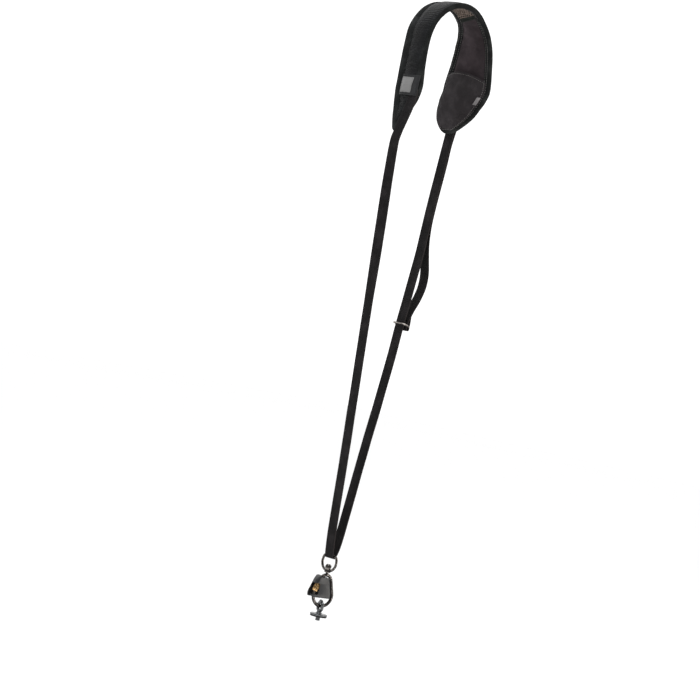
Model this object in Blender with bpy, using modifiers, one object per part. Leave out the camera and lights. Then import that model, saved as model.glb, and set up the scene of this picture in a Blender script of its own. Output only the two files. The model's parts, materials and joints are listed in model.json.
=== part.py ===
"""A camera sling strap as it hangs from its shoulder pad, with its hook and camera foot.

X runs from the front strand to the back strand, Y across the webbing, Z up.
The origin is under the top of the pad's arch, where the shoulder carries it.
"""
import math
from collections import namedtuple

import bmesh
import bpy
from mathutils import Matrix, Vector
from mathutils.geometry import interpolate_bezier

MODEL_NAME = "camera_sling_strap"

GAP = 0.0003  # between pieces that touch
CLOTH = 0.0010  # one layer of cloth
SEAM = 0.0011  # between a panel and the folded rim, where the stitches pull them apart
WELD = 0.00001  # points nearer than this are one

# The shoulder pad: its middle line is an arch with two arms that hang down
PAD_WIDTH = 0.0789
PAD_THICKNESS = 0.0055
ARCH_RADIUS = 0.0516
ARCH_X = 0.0168
FRONT_ARM = 0.1200
BACK_ARM = 0.1035
BACK_BEND = 0.0595  # length of the back arm that bends inwards
BACK_BEND_RADIUS = 0.442
FRONT_ROUND = 0.005
BACK_ROUND = 0.034
PAD_DRIFT = 0.0166  # how far the ends lie sideways of the middle
OUTER_BORDER = 0.0089
INNER_BORDER = 0.0100
MESH_WINDOW = 0.0520
WINDOW_SLANT = 0.0045  # how far its back end runs ahead at the far rim
POCKET_LENGTH = 0.0795
POCKET_DEPTH = 0.0068
POCKET_INSET = 0.0045
POCKET_RISE = 0.0070  # how far the mouth arches above its corners
POCKET_SLOPE = 0.0030  # how far its near corner lies below its middle, more than its far one
PATCH_LENGTH = 0.026
PATCH_WIDTH = 0.030
PATCH_PLACE = 0.1425  # from the top of the arch to the middle of the patch
PATCH_SIDE = -0.0073
TAG_LENGTH = 0.010
TAG_WIDTH = 0.0053
TAG_PLACE = 0.0445  # from the end of the back arm
TAG_MARGIN = 0.0055
TAG_TILT = 0.26  # slope against the pad's face

# The webbing, its slider and the keeper that it folds round
WEB_WIDTH = 0.0150
WEB_THICKNESS = 0.0016
WEB_CLEARANCE = 0.0008
WEB_STEP = 0.011  # between points of a strand
DROP = 0.7027  # from the origin to the bar of the ring
FRONT_LEAVE_SIDE = -0.0148  # where the front strand leaves the patch
FRONT_TURN = math.radians(12)  # about its run, most between these heights under the origin
FRONT_TURN_START = 0.169
FRONT_TURN_END = 0.385
BACK_SIDE = 0.0120  # where the back strand leaves the pad
KEEPER_WIRE = 0.0030
KEEPER_PLACE = 0.030  # from the end of the back arm
SLIDER_WIRE = 0.0022
SLIDER_SLOT = 0.0034
SLIDER_TILT = math.radians(12)
SLIDER_PLACE = 0.4015  # below the origin
RETURN_BULGE = 0.0175
RETURN_LEAVE = 0.2700  # where the return strand leaves the back strand
RETURN_START = 0.010  # under the pad's end, where it meets the back strand
RETURN_END = 0.011  # above the slider's outer bar, where the bulge ends
RETURN_APPROACH = 0.0078  # above that bar, where it turns in
RETURN_ENTRY = 0.002
RETURN_TAIL = 0.012
RETURN_SAG = 0.003  # how far the sewn end hangs under the slider's bar

# The ring and its swivel hub
RING_WIDTH = 0.0245
RING_HEIGHT = 0.0192
RING_WIRE = 0.0033
RING_STEP = 0.0024  # between points of the ring
HUB_RADIUS = 0.0040
HUB_HEIGHT = 0.0050
HUB_CLEARANCE = 0.0004
STEM_RADIUS = 0.0017
HEAD_RADIUS = 0.0039
HEAD_HEIGHT = 0.0056
NECK = 0.0012

# The hook, its gate, sleeve and cover
HOOK_TURN = math.radians(-12)
HOOK_WIRE = 0.0042
HOOK_HEIGHT = 0.0396
HOOK_TOP_RADIUS = 0.0082
HOOK_BOW_RADIUS = 0.0136
GATE_RADIUS = 0.0020
SLEEVE_RADIUS = 0.0042
SLEEVE_LENGTH = 0.0165
COVER_DEPTH = 0.0122  # round the gate
COVER_EDGE = 0.0072  # its depth beside the hook's spine
COVER_REACH = 0.0010  # beyond a round lobe
COVER_INSET = 0.0012  # from the hook's spine
COVER_WALL = 0.0011
COVER_HEIGHT = 0.0258
COVER_TOP = 0.0052  # below the hook's top
COVER_CORNER = 0.0034
COVER_EDGE_CORNER = 0.0014
COVER_ROUND = 0.0036  # where its gate side turns into its open bottom
COVER_DOME = 0.0050  # height of the round that closes the gate side above
DOME_RISE = 0.0020  # above the flat sides
DOME_REACH = 0.0042  # over the gate's end

# The foot that screws into the camera
EYE_WIRE = 0.0041
EYE_CLEARANCE = 0.0005
EYE_SLACK = 0.0012
EYE_CROWN = 0.0018  # how far its top is built up
CROWN_SHARE = 0.4  # of the eye's half width
FOOT_NECK = 0.0052
FOOT_FLARE = 0.0062
DISC_RADIUS = 0.0110
DISC_THICKNESS = 0.0023
WASHER_RADIUS = 0.0106
WASHER_THICKNESS = 0.0012
STUD_RADIUS = 0.003175
STUD_LENGTH = 0.0050
STUD_PITCH = 0.00127
STUD_THREAD = 0.0006

# place is a share of the length from the top of the arch to the end, front negative;
# width is a share of PAD_WIDTH and drift of PAD_DRIFT
PadRow = namedtuple("PadRow", "place width drift")
PAD_ROWS = [
    PadRow(-1.000, 0.100, 0.39),
    PadRow(-0.930, 0.220, 0.31),
    PadRow(-0.855, 0.390, 0.06),
    PadRow(-0.786, 0.510, -0.09),
    PadRow(-0.710, 0.565, -0.14),
    PadRow(-0.600, 0.535, -0.06),
    PadRow(-0.480, 0.520, 0.00),
    PadRow(-0.170, 0.565, -0.20),
    PadRow(0.000, 0.600, -0.26),
    PadRow(0.187, 0.590, -0.16),
    PadRow(0.315, 0.705, -0.06),
    PadRow(0.384, 0.785, 0.00),
    PadRow(0.517, 0.890, -0.09),
    PadRow(0.683, 1.000, -0.12),
    PadRow(0.752, 0.980, 0.09),
    PadRow(0.816, 0.895, 0.33),
    PadRow(0.885, 0.810, 0.53),
    PadRow(0.925, 0.745, 0.66),
    PadRow(1.000, 0.590, 0.80),
]

# drop is a share of DROP and reach of the strand's reach at the pad's end
StrandRow = namedtuple("StrandRow", "drop reach side")
FRONT_ROWS = [
    StrandRow(0.2590, 1.000, 0.02),
    StrandRow(0.3680, 0.885, 0.00),
    StrandRow(0.4390, 0.790, 0.00),
    StrandRow(0.5105, 0.708, 0.00),
    StrandRow(0.5820, 0.620, 0.00),
    StrandRow(0.7240, 0.436, 0.00),
    StrandRow(0.8260, 0.308, 0.00),
    StrandRow(0.9020, 0.225, 0.00),
    StrandRow(0.9560, 0.170, 0.00),
    StrandRow(0.9850, 0.112, 0.00),
]
BACK_ROWS = [
    StrandRow(0.2615, 0.945, 0.85),
    StrandRow(0.3680, 0.817, 0.56),
    StrandRow(0.4390, 0.752, 0.37),
    StrandRow(0.5105, 0.645, 0.17),
    StrandRow(0.5714, 0.552, 0.00),
    StrandRow(0.6530, 0.480, 0.00),
    StrandRow(0.7240, 0.398, 0.00),
    StrandRow(0.8260, 0.275, 0.00),
    StrandRow(0.9020, 0.195, 0.00),
    StrandRow(0.9560, 0.136, 0.00),
    StrandRow(0.9850, 0.093, 0.00),
]

# place is a share of the way from RETURN_LEAVE to the slider and out of RETURN_BULGE
BulgeRow = namedtuple("BulgeRow", "place out")
BULGE_ROWS = [
    BulgeRow(0.05, 0.03),
    BulgeRow(0.21, 0.20),
    BulgeRow(0.37, 0.56),
    BulgeRow(0.50, 0.90),
    BulgeRow(0.60, 1.03),
    BulgeRow(0.69, 1.02),
    BulgeRow(0.82, 0.80),
    BulgeRow(0.92, 0.52),
]
BorderRow = namedtuple("BorderRow", "place near far")
BORDER_ROWS = [
    BorderRow(-1.00, 0.0012, 0.0026),
    BorderRow(-0.60, 0.0012, 0.0030),
    BorderRow(-0.49, -0.0016, 0.0036),
    BorderRow(-0.32, -0.0042, 0.0034),
    BorderRow(-0.15, -0.0042, 0.0018),
    BorderRow(0.10, 0.0000, 0.0000),
    BorderRow(1.00, 0.0000, 0.0000),
]

# y is a share of half of RING_WIDTH and z of RING_HEIGHT, down one side of the ring
RingRow = namedtuple("RingRow", "y z")
RING_ROWS = [
    RingRow(0.00, 0.00),
    RingRow(0.40, 0.00),
    RingRow(0.72, -0.02),
    RingRow(0.90, -0.12),
    RingRow(0.98, -0.30),
    RingRow(0.99, -0.52),
    RingRow(0.86, -0.74),
    RingRow(0.58, -0.92),
    RingRow(0.28, -0.99),
]

QUARTER = ARCH_RADIUS * math.pi / 2
FRONT_LENGTH = QUARTER + FRONT_ARM
BACK_LENGTH = QUARTER + BACK_ARM
HALF_PAD = PAD_THICKNESS / 2
WEB_LEVEL = HALF_PAD + GAP + WEB_THICKNESS / 2
WEB_PITCH = WEB_THICKNESS + GAP
RING_WRAP = RING_WIRE / 2 + GAP + WEB_THICKNESS / 2
KEEPER_WRAP = KEEPER_WIRE / 2 + GAP + WEB_THICKNESS / 2
KEEPER_LEVEL = WEB_LEVEL + KEEPER_WRAP
FOLD_SPLIT = 1.6 * GAP / (KEEPER_WRAP - WEB_THICKNESS / 2)
SLIDER_LENGTH = WEB_WIDTH + 2 * WEB_CLEARANCE + SLIDER_WIRE
SLIDER_PITCH = SLIDER_SLOT + SLIDER_WIRE
HOOK_SLOPE = math.asin(
    (HOOK_BOW_RADIUS - HOOK_TOP_RADIUS) / (HOOK_HEIGHT - HOOK_TOP_RADIUS - HOOK_BOW_RADIUS))

Arc = namedtuple("Arc", "length radius")
FRONT_ARCS = [Arc(QUARTER, ARCH_RADIUS), Arc(FRONT_ARM, None)]
BACK_ARCS = [
    Arc(QUARTER, ARCH_RADIUS), Arc(BACK_ARM - BACK_BEND, None), Arc(BACK_BEND, BACK_BEND_RADIUS)]


def clear_scene():
    for item in list(bpy.data.objects):
        bpy.data.objects.remove(item, do_unlink=True)
    for name in (MODEL_NAME, "cutters"):
        if name in bpy.data.collections:
            bpy.data.collections.remove(bpy.data.collections[name])
        bpy.context.scene.collection.children.link(bpy.data.collections.new(name))


def make_material(name, colour, roughness, metallic=0.0):
    material = bpy.data.materials.new(name)
    material.use_nodes = True
    shader = material.node_tree.nodes["Principled BSDF"]
    shader.inputs["Base Color"].default_value = (*colour, 1.0)
    shader.inputs["Roughness"].default_value = roughness
    shader.inputs["Metallic"].default_value = metallic
    return material


def add_object(name, data, material=None, collection=MODEL_NAME):
    item = bpy.data.objects.new(name, data)
    bpy.data.collections[collection].objects.link(item)
    if material:
        data.materials.append(material)
    return item


def smooth_value(rows, column, place):
    """Read a column between its rows on a curve that doesn't overshoot them."""
    places = [row.place for row in rows]
    values = [getattr(row, column) for row in rows]
    steps = [(values[i + 1] - values[i]) / (places[i + 1] - places[i]) for i in range(len(rows) - 1)]
    index = max(0, min(len(rows) - 2, sum(1 for p in places if p <= place) - 1))

    def slope(i):
        if i == 0 or i == len(rows) - 1:
            return steps[min(i, len(steps) - 1)]
        before, after = steps[i - 1], steps[i]
        return 0.0 if before * after <= 0 else 2 * before * after / (before + after)

    width = places[index + 1] - places[index]
    t = (place - places[index]) / width
    start, end = values[index], values[index + 1]
    return (start * (1 + 2 * t) * (1 - t) ** 2 + slope(index) * width * t * (1 - t) ** 2
            + end * t * t * (3 - 2 * t) - slope(index + 1) * width * t * t * (1 - t))


def smooth_path(points, step):
    """Points about a step apart on one smooth curve through the given ones."""
    count = len(points)
    lengths = [(points[i + 1] - points[i]).length for i in range(count - 1)]

    def tangent(i):
        low, high = max(0, i - 1), min(count - 1, i + 1)
        return (points[high] - points[low]) / sum(lengths[low:high])

    path = [points[0]]
    for i, length in enumerate(lengths):
        pieces = max(1, round(length / step))
        near = points[i] + tangent(i) * length / 3
        far = points[i + 1] - tangent(i + 1) * length / 3
        path += interpolate_bezier(points[i], near, far, points[i + 1], pieces + 1)[1:]
    return path


def arc_points(centre, radius, start, end, count):
    """Points on an arc in the XZ plane, angles from +X towards +Z."""
    angles = [start + (end - start) * i / count for i in range(count + 1)]
    return [centre + radius * Vector((math.cos(a), 0, math.sin(a))) for a in angles]


def spine(s):
    """Point and outward direction of the pad's middle line, s along it from the top."""
    side = 1 if s >= 0 else -1
    left = abs(s)
    turned, x, z = 0.0, 0.0, HALF_PAD
    for arc in BACK_ARCS if s >= 0 else FRONT_ARCS:
        length = min(left, arc.length)
        left -= length
        if arc.radius is None:
            x += length * math.cos(turned)
            z -= length * math.sin(turned)
        else:
            end = turned + length / arc.radius
            x += arc.radius * (math.sin(end) - math.sin(turned))
            z += arc.radius * (math.cos(end) - math.cos(turned))
            turned = end
    return Vector((ARCH_X + side * x, 0, z)), Vector((side * math.sin(turned), 0, math.cos(turned)))


def pad_point(s, y, level):
    """A point at a height above the pad's middle line, outwards positive."""
    middle, outwards = spine(s)
    return middle + outwards * level + Vector((0, y, 0))


def half_width(s):
    length, tip_radius = (BACK_LENGTH, BACK_ROUND) if s > 0 else (FRONT_LENGTH, FRONT_ROUND)
    tip = max(0.0, length - abs(s))
    rounded = math.sqrt(1 - (1 - tip / tip_radius) ** 2) if tip < tip_radius else 1.0
    return PAD_WIDTH * smooth_value(PAD_ROWS, "width", s / length) * rounded / 2


def drift(s):
    length = BACK_LENGTH if s > 0 else FRONT_LENGTH
    return PAD_DRIFT * smooth_value(PAD_ROWS, "drift", s / length)


def inset_end(length, inset):
    """How far an outline drawn in by the inset reaches along an arm, front negative."""
    wide, narrow = 0.5 * length, length - math.copysign(inset, length)
    if half_width(narrow) > inset or inset == 0:
        return narrow
    for _ in range(30):
        middle = (wide + narrow) / 2
        if half_width(middle) > inset:
            wide = middle
        else:
            narrow = middle
    return wide


def draw_in(s, inset):
    """Move a place of the rim towards the middle, most at the ends, to fit an inset outline."""
    length = BACK_LENGTH if s > 0 else -FRONT_LENGTH
    return s - (length - inset_end(length, inset)) * (s / length) ** 4


def pad_place(along, across, inset, start=-FRONT_LENGTH, end=BACK_LENGTH):
    """Place on the pad from shares: along 0 to 1 front to back, across -1 to 1."""
    crowded = along - 0.06 * math.sin(2 * math.pi * along)
    rim = start + (end - start) * crowded
    s = draw_in(rim, inset)
    at_tip = rim in (-FRONT_LENGTH, BACK_LENGTH)
    half = 0.0 if at_tip else max(0.0, half_width(s) - inset)
    return s, drift(s) + across * half


def border_shift(s, across, inset):
    """How far the outer face's border is wider than its plain width, in the Y of a place across."""
    place = s / (BACK_LENGTH if s > 0 else FRONT_LENGTH)
    near = smooth_value(BORDER_ROWS, "near", place) * (1 - across) / 2
    far = smooth_value(BORDER_ROWS, "far", place) * (1 + across) / 2
    room = min(1.0, max(0.0, half_width(s) - inset) / OUTER_BORDER)
    return (near - far) * room


def mapped_sheet(name, columns, rows, place, thickness, material):
    """A sheet of given thickness whose middle is place(u, v), u and v from 0 to 1."""
    mesh = bpy.data.meshes.new(name)
    work = bmesh.new()
    bmesh.ops.create_grid(work, x_segments=columns, y_segments=rows, size=0.5)
    for vert in work.verts:
        vert.co = place(round(vert.co.x + 0.5, 6), round(vert.co.y + 0.5, 6))
    bmesh.ops.remove_doubles(work, verts=work.verts, dist=2 * WELD)
    bmesh.ops.recalc_face_normals(work, faces=work.faces)
    work.to_mesh(mesh)
    work.free()
    item = add_object(name, mesh, material)
    wall = item.modifiers.new("wall", "SOLIDIFY")
    wall.thickness = thickness
    wall.offset = 0
    wall.use_even_offset = False
    return item


def layer(name, material, level, inset, columns, rows, thickness=CLOTH,
          start=-FRONT_LENGTH, end=BACK_LENGTH, start_slant=0.0, end_slant=0.0, shift=None):
    """A layer of the pad at one level, all along it or between two places, slanted or not."""
    def place(u, v):
        across = 2 * v - 1
        s, y = pad_place(
            u, across, inset, start + start_slant * across, end + end_slant * across)
        return pad_point(s, y + shift(s, across, inset) if shift else y, level)
    return mapped_sheet(name, columns, rows, place, thickness, material)


def make_pad(materials):
    inner_leg = HALF_PAD - CLOTH / 2
    layer("pad_core", materials["foam"], 0, 2 * CLOTH + SEAM, 60, 3,
          PAD_THICKNESS - 2 * CLOTH - 2 * GAP)
    layer("outer_panel", materials["ribbed cloth"], inner_leg, OUTER_BORDER + SEAM, 60, 2,
          shift=border_shift)
    half_window = MESH_WINDOW / 2
    inset = INNER_BORDER + SEAM
    layer("front_lining", materials["lining"], -inner_leg, inset, 30, 2, end=-half_window - GAP)
    layer("mesh_window", materials["mesh"], -inner_leg, inset, 16, 2,
          start=-half_window, end=half_window, end_slant=WINDOW_SLANT)
    layer("back_lining", materials["lining"], -inner_leg, inset, 32, 3,
          start=half_window + GAP, start_slant=WINDOW_SLANT)
    make_edge_wrap(materials["edge cloth"])
    make_pocket(materials["pocket cloth"])
    make_patches(materials)


def make_edge_wrap(material):
    """Cloth folded round the whole rim, with a leg on each face of the pad."""
    level = HALF_PAD - CLOTH / 2
    corner = 0.3 * PAD_THICKNESS
    profile = [(OUTER_BORDER, level), (corner, level), (CLOTH / 2, 0),
               (corner, -level), (INNER_BORDER, -level)]

    def place(u, v):
        inset, height = profile[round(v * (len(profile) - 1))]
        turn = 2 * (u % 1.0)
        along, across = (turn, 1) if turn <= 1 else (2 - turn, -1)
        s, y = pad_place(along, across, inset)
        if inset == OUTER_BORDER:
            y += border_shift(s, across, inset)
        return pad_point(s, y, height)
    mapped_sheet("edge_wrap", 120, len(profile) - 1, place, CLOTH, material)


def mouth_place(across):
    """The pocket's arched mouth, lowest at the near edge."""
    middle = BACK_LENGTH - POCKET_LENGTH
    return middle + POCKET_RISE * across * across - POCKET_SLOPE * across


def make_pocket(material):
    """A bulging cloth panel over the lining, open at its mouth."""
    last = inset_end(BACK_LENGTH, POCKET_INSET)

    def place(u, v):
        across = 2 * v - 1
        mouth = mouth_place(across)
        s = mouth + (last - mouth) * (u - 0.08 * math.sin(2 * math.pi * u))
        half = 0.0 if u == 1 else max(0.0, half_width(s) - POCKET_INSET)
        bulge = POCKET_DEPTH * (1 - across ** 2) * (1 - u * u) * (0.8 + 0.8 * u * (1 - u))
        return pad_point(s, drift(s) + across * half, -HALF_PAD - GAP - CLOTH / 2 - bulge)
    mapped_sheet("pocket", 20, 12, place, CLOTH, material)


def make_patches(materials):
    start = -PATCH_PLACE - PATCH_LENGTH / 2

    def patch(u, v):
        over_strand = min(1.0, max(0.0, (0.9 - u) / 0.4))
        return pad_point(start + PATCH_LENGTH * u, PATCH_SIDE + PATCH_WIDTH * (v - 0.5),
                         HALF_PAD + GAP + CLOTH / 2 + WEB_PITCH * over_strand)
    mapped_sheet("label_patch", 10, 4, patch, CLOTH, materials["patch"])
    tag = BACK_LENGTH - TAG_PLACE
    lift = HALF_PAD + 2 * GAP + 2.2 * CLOTH + POCKET_DEPTH * 0.42

    def side_tag(u, v):
        s, across = tag + TAG_LENGTH * (u - 0.5), TAG_WIDTH * (v - 0.5)
        edge = drift(s) - half_width(s) + TAG_MARGIN
        return pad_point(s, edge + across, -lift - TAG_TILT * across)
    mapped_sheet("side_tag", 2, 2, side_tag, 0.8 * CLOTH, materials["tag"])


def front_turn(point):
    """How far the front strand is turned about its run at a point, up to FRONT_TURN."""
    share = (-point.z - FRONT_TURN_START) / (FRONT_TURN_END - FRONT_TURN_START)
    return FRONT_TURN * math.sin(math.pi * min(1.0, max(0.0, share)))


def ribbon(name, path, material, turn=None):
    """Webbing along a path, its width along Y where the path and its turn allow."""
    count = len(path) - 1
    frames = []
    for i, point in enumerate(path):
        along = (path[min(count, i + 1)] - path[max(0, i - 1)]).normalized()
        angle = turn(point) if turn else 0.0
        across = Vector((-math.sin(angle), math.cos(angle), 0))
        frames.append((point, (across - along * across.dot(along)).normalized()))

    def place(u, v):
        point, across = frames[round(u * count)]
        return point + across * WEB_WIDTH * (v - 0.5)
    return mapped_sheet(name, count, 1, place, WEB_THICKNESS, material)


def strand_points(rows, reach, side):
    return [Vector((reach * row.reach, side * row.side, -DROP * row.drop)) for row in rows]


def back_path():
    """The back strand from the ring's bar up to the end of the pad."""
    leave = pad_point(BACK_LENGTH, BACK_SIDE, WEB_LEVEL)
    points = strand_points(BACK_ROWS, leave.x, BACK_SIDE)
    wrap = arc_points(Vector((0, 0, -DROP)), RING_WRAP, -math.pi / 2, math.radians(-12), 4)
    climb = [pad_point(BACK_LENGTH - share * KEEPER_PLACE, BACK_SIDE, WEB_LEVEL)
             for share in (0.05, 0.35, 0.7, 1.0)]
    return wrap, points[::-1] + climb


def make_webbing(materials):
    web = materials["webbing"]
    bar = Vector((0, 0, -DROP))
    start = -PATCH_PLACE - PATCH_LENGTH / 2
    run = FRONT_LENGTH + start
    on_pad = [pad_point(start - run * share, FRONT_LEAVE_SIDE * side, WEB_LEVEL)
              for share, side in ((-0.15, 1.02), (0.0, 1.08), (0.33, 0.88), (0.66, 0.54), (0.95, 0.24))]
    free = strand_points(FRONT_ROWS, on_pad[0].x, FRONT_LEAVE_SIDE)
    wrap = arc_points(bar, RING_WRAP, math.radians(192), math.radians(268), 4)
    path = smooth_path(on_pad + free + [wrap[0]], WEB_STEP) + wrap[1:]
    ribbon("front_strand", path, web, front_turn)

    wrap, rest = back_path()
    path = wrap[1:] + smooth_path([wrap[-1]] + rest, WEB_STEP)[1:]
    keeper = pad_point(BACK_LENGTH - KEEPER_PLACE, BACK_SIDE, KEEPER_LEVEL)
    outwards = spine(BACK_LENGTH - KEEPER_PLACE)[1]
    facing = math.atan2(outwards.z, outwards.x)
    fold = arc_points(keeper, KEEPER_WRAP, facing + math.pi, facing + math.pi / 2 + FOLD_SPLIT, 4)
    ribbon("back_strand", path + fold[1:], web)
    make_return_strand(keeper, facing, web)


def back_x(height):
    """The back strand's X and Y at a height, from its smooth path."""
    path = smooth_path(back_path()[1], WEB_STEP / 3)
    for low, high in zip(path, path[1:]):
        if low.z <= height <= high.z:
            return low.lerp(high, (height - low.z) / (high.z - low.z))
    raise ValueError("The back strand doesn't reach this height")


def slider_centre():
    point = back_x(-SLIDER_PLACE)
    return Vector((point.x + SLIDER_PITCH / 2, point.y, point.z))


def make_return_strand(keeper, facing, web):
    """Down from the keeper, out in a bulge, and round the slider's outer bar."""
    fold = arc_points(keeper, KEEPER_WRAP, facing + math.pi / 2 - FOLD_SPLIT, facing, 4)
    slider = slider_centre()
    outer_bar = slider + SLIDER_PITCH * Vector((math.cos(SLIDER_TILT), 0, -math.sin(SLIDER_TILT)))
    wrap = SLIDER_WIRE / 2 + GAP + WEB_THICKNESS / 2
    first = -pad_point(BACK_LENGTH, 0, 0).z + RETURN_START
    bottom = -outer_bar.z - RETURN_END
    points = [fold[-1]]
    for share in (0.0, 0.25, 0.50, 0.75, 0.90, 0.97):
        point = back_x(-first - (RETURN_LEAVE - first) * share)
        points.append(point + Vector((1.1 * WEB_PITCH, 0, 0)))
    bulge_length = bottom - RETURN_LEAVE
    for row in BULGE_ROWS:
        point = back_x(-RETURN_LEAVE - bulge_length * row.place)
        points.append(point + Vector((1.1 * WEB_PITCH + RETURN_BULGE * row.out, 0, 0)))
    points += [outer_bar + Vector((-0.2 * wrap, 0, RETURN_APPROACH)),
               outer_bar + Vector((-wrap, 0, RETURN_ENTRY))]
    under = arc_points(outer_bar - Vector((0, 0, RETURN_SAG)), wrap, -math.pi, 0, 8)
    tail = [outer_bar + Vector((wrap * aside, 0, RETURN_TAIL * rise)) for aside, rise in
            ((1.0, 0.0), (0.95, 0.4), (0.85, 0.7), (0.80, 1.0))]
    path = fold + smooth_path(points, 0.8 * WEB_STEP)[1:] + under
    path += smooth_path([under[-1]] + tail, WEB_STEP / 3)[1:]
    ribbon("return_strand", path, web)


def wire(name, points, thickness, material, cyclic=False):
    curve = bpy.data.curves.new(name, "CURVE")
    curve.dimensions = "3D"
    curve.bevel_depth = thickness / 2
    curve.bevel_resolution = 2
    curve.use_fill_caps = True
    spline = curve.splines.new("POLY")
    spline.points.add(len(points) - 1)
    for slot, point in zip(spline.points, points):
        slot.co = (*point, 1)
    spline.use_cyclic_u = cyclic
    return add_object(name, curve, material)


def curve_to_mesh(item, material):
    """The same object as a closed mesh."""
    name = item.name
    evaluated = item.evaluated_get(bpy.context.evaluated_depsgraph_get())
    mesh = bpy.data.meshes.new_from_object(evaluated)
    bpy.data.objects.remove(item, do_unlink=True)
    work = bmesh.new()
    work.from_mesh(mesh)
    bmesh.ops.remove_doubles(work, verts=work.verts, dist=WELD)
    bmesh.ops.recalc_face_normals(work, faces=work.faces)
    work.to_mesh(mesh)
    work.free()
    mesh.materials.clear()
    return add_object(name, mesh, material)


def turned(name, profile, material, closed=False):
    """A profile of (radius, height) rows, top to bottom, turned about Z."""
    mesh = bpy.data.meshes.new(name)
    work = bmesh.new()
    verts = [work.verts.new((radius, 0, height)) for radius, height in profile]
    for low, high in zip(verts, verts[1:] + verts[:1] if closed else verts[1:]):
        work.edges.new((low, high))
    work.to_mesh(mesh)
    work.free()
    item = add_object(name, mesh, material)
    screw = item.modifiers.new("turn", "SCREW")
    screw.steps = screw.render_steps = 24
    screw.use_merge_vertices = True
    screw.merge_threshold = WELD
    return item


def as_cutter(item):
    item.hide_render = True
    item.display_type = "WIRE"
    for collection in list(item.users_collection):
        collection.objects.unlink(item)
    bpy.data.collections["cutters"].objects.link(item)
    return item


def combine(item, other, operation):
    step = item.modifiers.new(other.name, "BOOLEAN")
    step.operation = operation
    step.object = as_cutter(other)
    step.solver = "EXACT"


def cylinder(name, radius, bottom, top, material=None, sides=20):
    mesh = bpy.data.meshes.new(name)
    work = bmesh.new()
    place = Matrix.Translation((0, 0, (bottom + top) / 2))
    bmesh.ops.create_cone(work, cap_ends=True, segments=sides, radius1=radius, radius2=radius,
                          depth=top - bottom, matrix=place)
    work.to_mesh(mesh)
    work.free()
    return add_object(name, mesh, material)


def box(name, low, high):
    mesh = bpy.data.meshes.new(name)
    work = bmesh.new()
    low, high = Vector(low), Vector(high)
    place = Matrix.Translation((low + high) / 2) @ Matrix.Diagonal((*(high - low), 1))
    bmesh.ops.create_cube(work, size=1, matrix=place)
    work.to_mesh(mesh)
    work.free()
    return add_object(name, mesh)


def axis_empty(name, parent, location, turn=0.0):
    item = add_object(name, None)
    item.parent = parent
    item.location = location
    item.rotation_euler = (0, 0, turn)
    return item


def make_keeper(material):
    """A plain staple on the pad's outer face, which the webbing folds over."""
    place = BACK_LENGTH - KEEPER_PLACE
    half = WEB_WIDTH / 2 + WEB_CLEARANCE + KEEPER_WIRE / 2
    foot, top = HALF_PAD + GAP, KEEPER_LEVEL
    corner = 0.4 * KEEPER_WIRE
    outline = [(-half, foot), (-half, top - corner), (-half + corner, top),
               (half - corner, top), (half, top - corner), (half, foot)]
    wire("keeper", [pad_point(place, BACK_SIDE + y, level) for y, level in outline],
         KEEPER_WIRE, material)


def make_slider(material):
    """A flat frame with a middle bar, lying across the strands."""
    centre = slider_centre()
    length = SLIDER_LENGTH + SLIDER_WIRE
    depth = 2 * SLIDER_PITCH + SLIDER_WIRE
    thick = SLIDER_WIRE
    frame = box("slider", (-depth / 2, -length / 2, -thick / 2), (depth / 2, length / 2, thick / 2))
    frame.data.materials.append(material)
    slot_length = WEB_WIDTH + 2 * WEB_CLEARANCE
    for side in (-1, 1):
        middle = side * SLIDER_PITCH / 2
        slot = box(f"slider_slot_{side}", (middle - SLIDER_SLOT / 2, -slot_length / 2, -thick),
                   (middle + SLIDER_SLOT / 2, slot_length / 2, thick))
        slot.parent = frame
        combine(frame, slot, "DIFFERENCE")
    edge = frame.modifiers.new("round edges", "BEVEL")
    edge.width = 0.22 * SLIDER_WIRE
    edge.segments = 1
    frame.location = centre
    frame.rotation_euler = (0, SLIDER_TILT, 0)


def make_ring(parent, material):
    """A rounded ring on the webbing, with a drilled hub at its bottom."""
    side = [Vector((0, RING_WIDTH / 2 * row.y, RING_HEIGHT * row.z)) for row in RING_ROWS]
    bottom = Vector((0, 0, -RING_HEIGHT))
    far = [Vector((0, -point.y, point.z)) for point in side[:0:-1]]
    loop = smooth_path(side + [bottom] + far + [side[0]], RING_STEP)[:-1]
    ring = curve_to_mesh(wire("ring", loop, RING_WIRE, None, cyclic=True), material)
    middle = -RING_HEIGHT
    hub = cylinder("ring_hub", HUB_RADIUS, middle - HUB_HEIGHT / 2, middle + HUB_HEIGHT / 2)
    hole = cylinder("ring_hole", STEM_RADIUS + HUB_CLEARANCE, middle - HUB_HEIGHT,
                    middle + HUB_HEIGHT)
    ring.parent = hub.parent = hole.parent = parent
    combine(ring, hub, "UNION")
    combine(ring, hole, "DIFFERENCE")


def hook_centres():
    """Centres of the hook's two rounds, below its hub's centre."""
    top = -HUB_HEIGHT / 2 - NECK - HOOK_WIRE / 2
    upper = Vector((0, 0, top - HOOK_TOP_RADIUS))
    lower = Vector((0, 0, top - HOOK_HEIGHT + HOOK_BOW_RADIUS))
    return upper, lower


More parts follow.
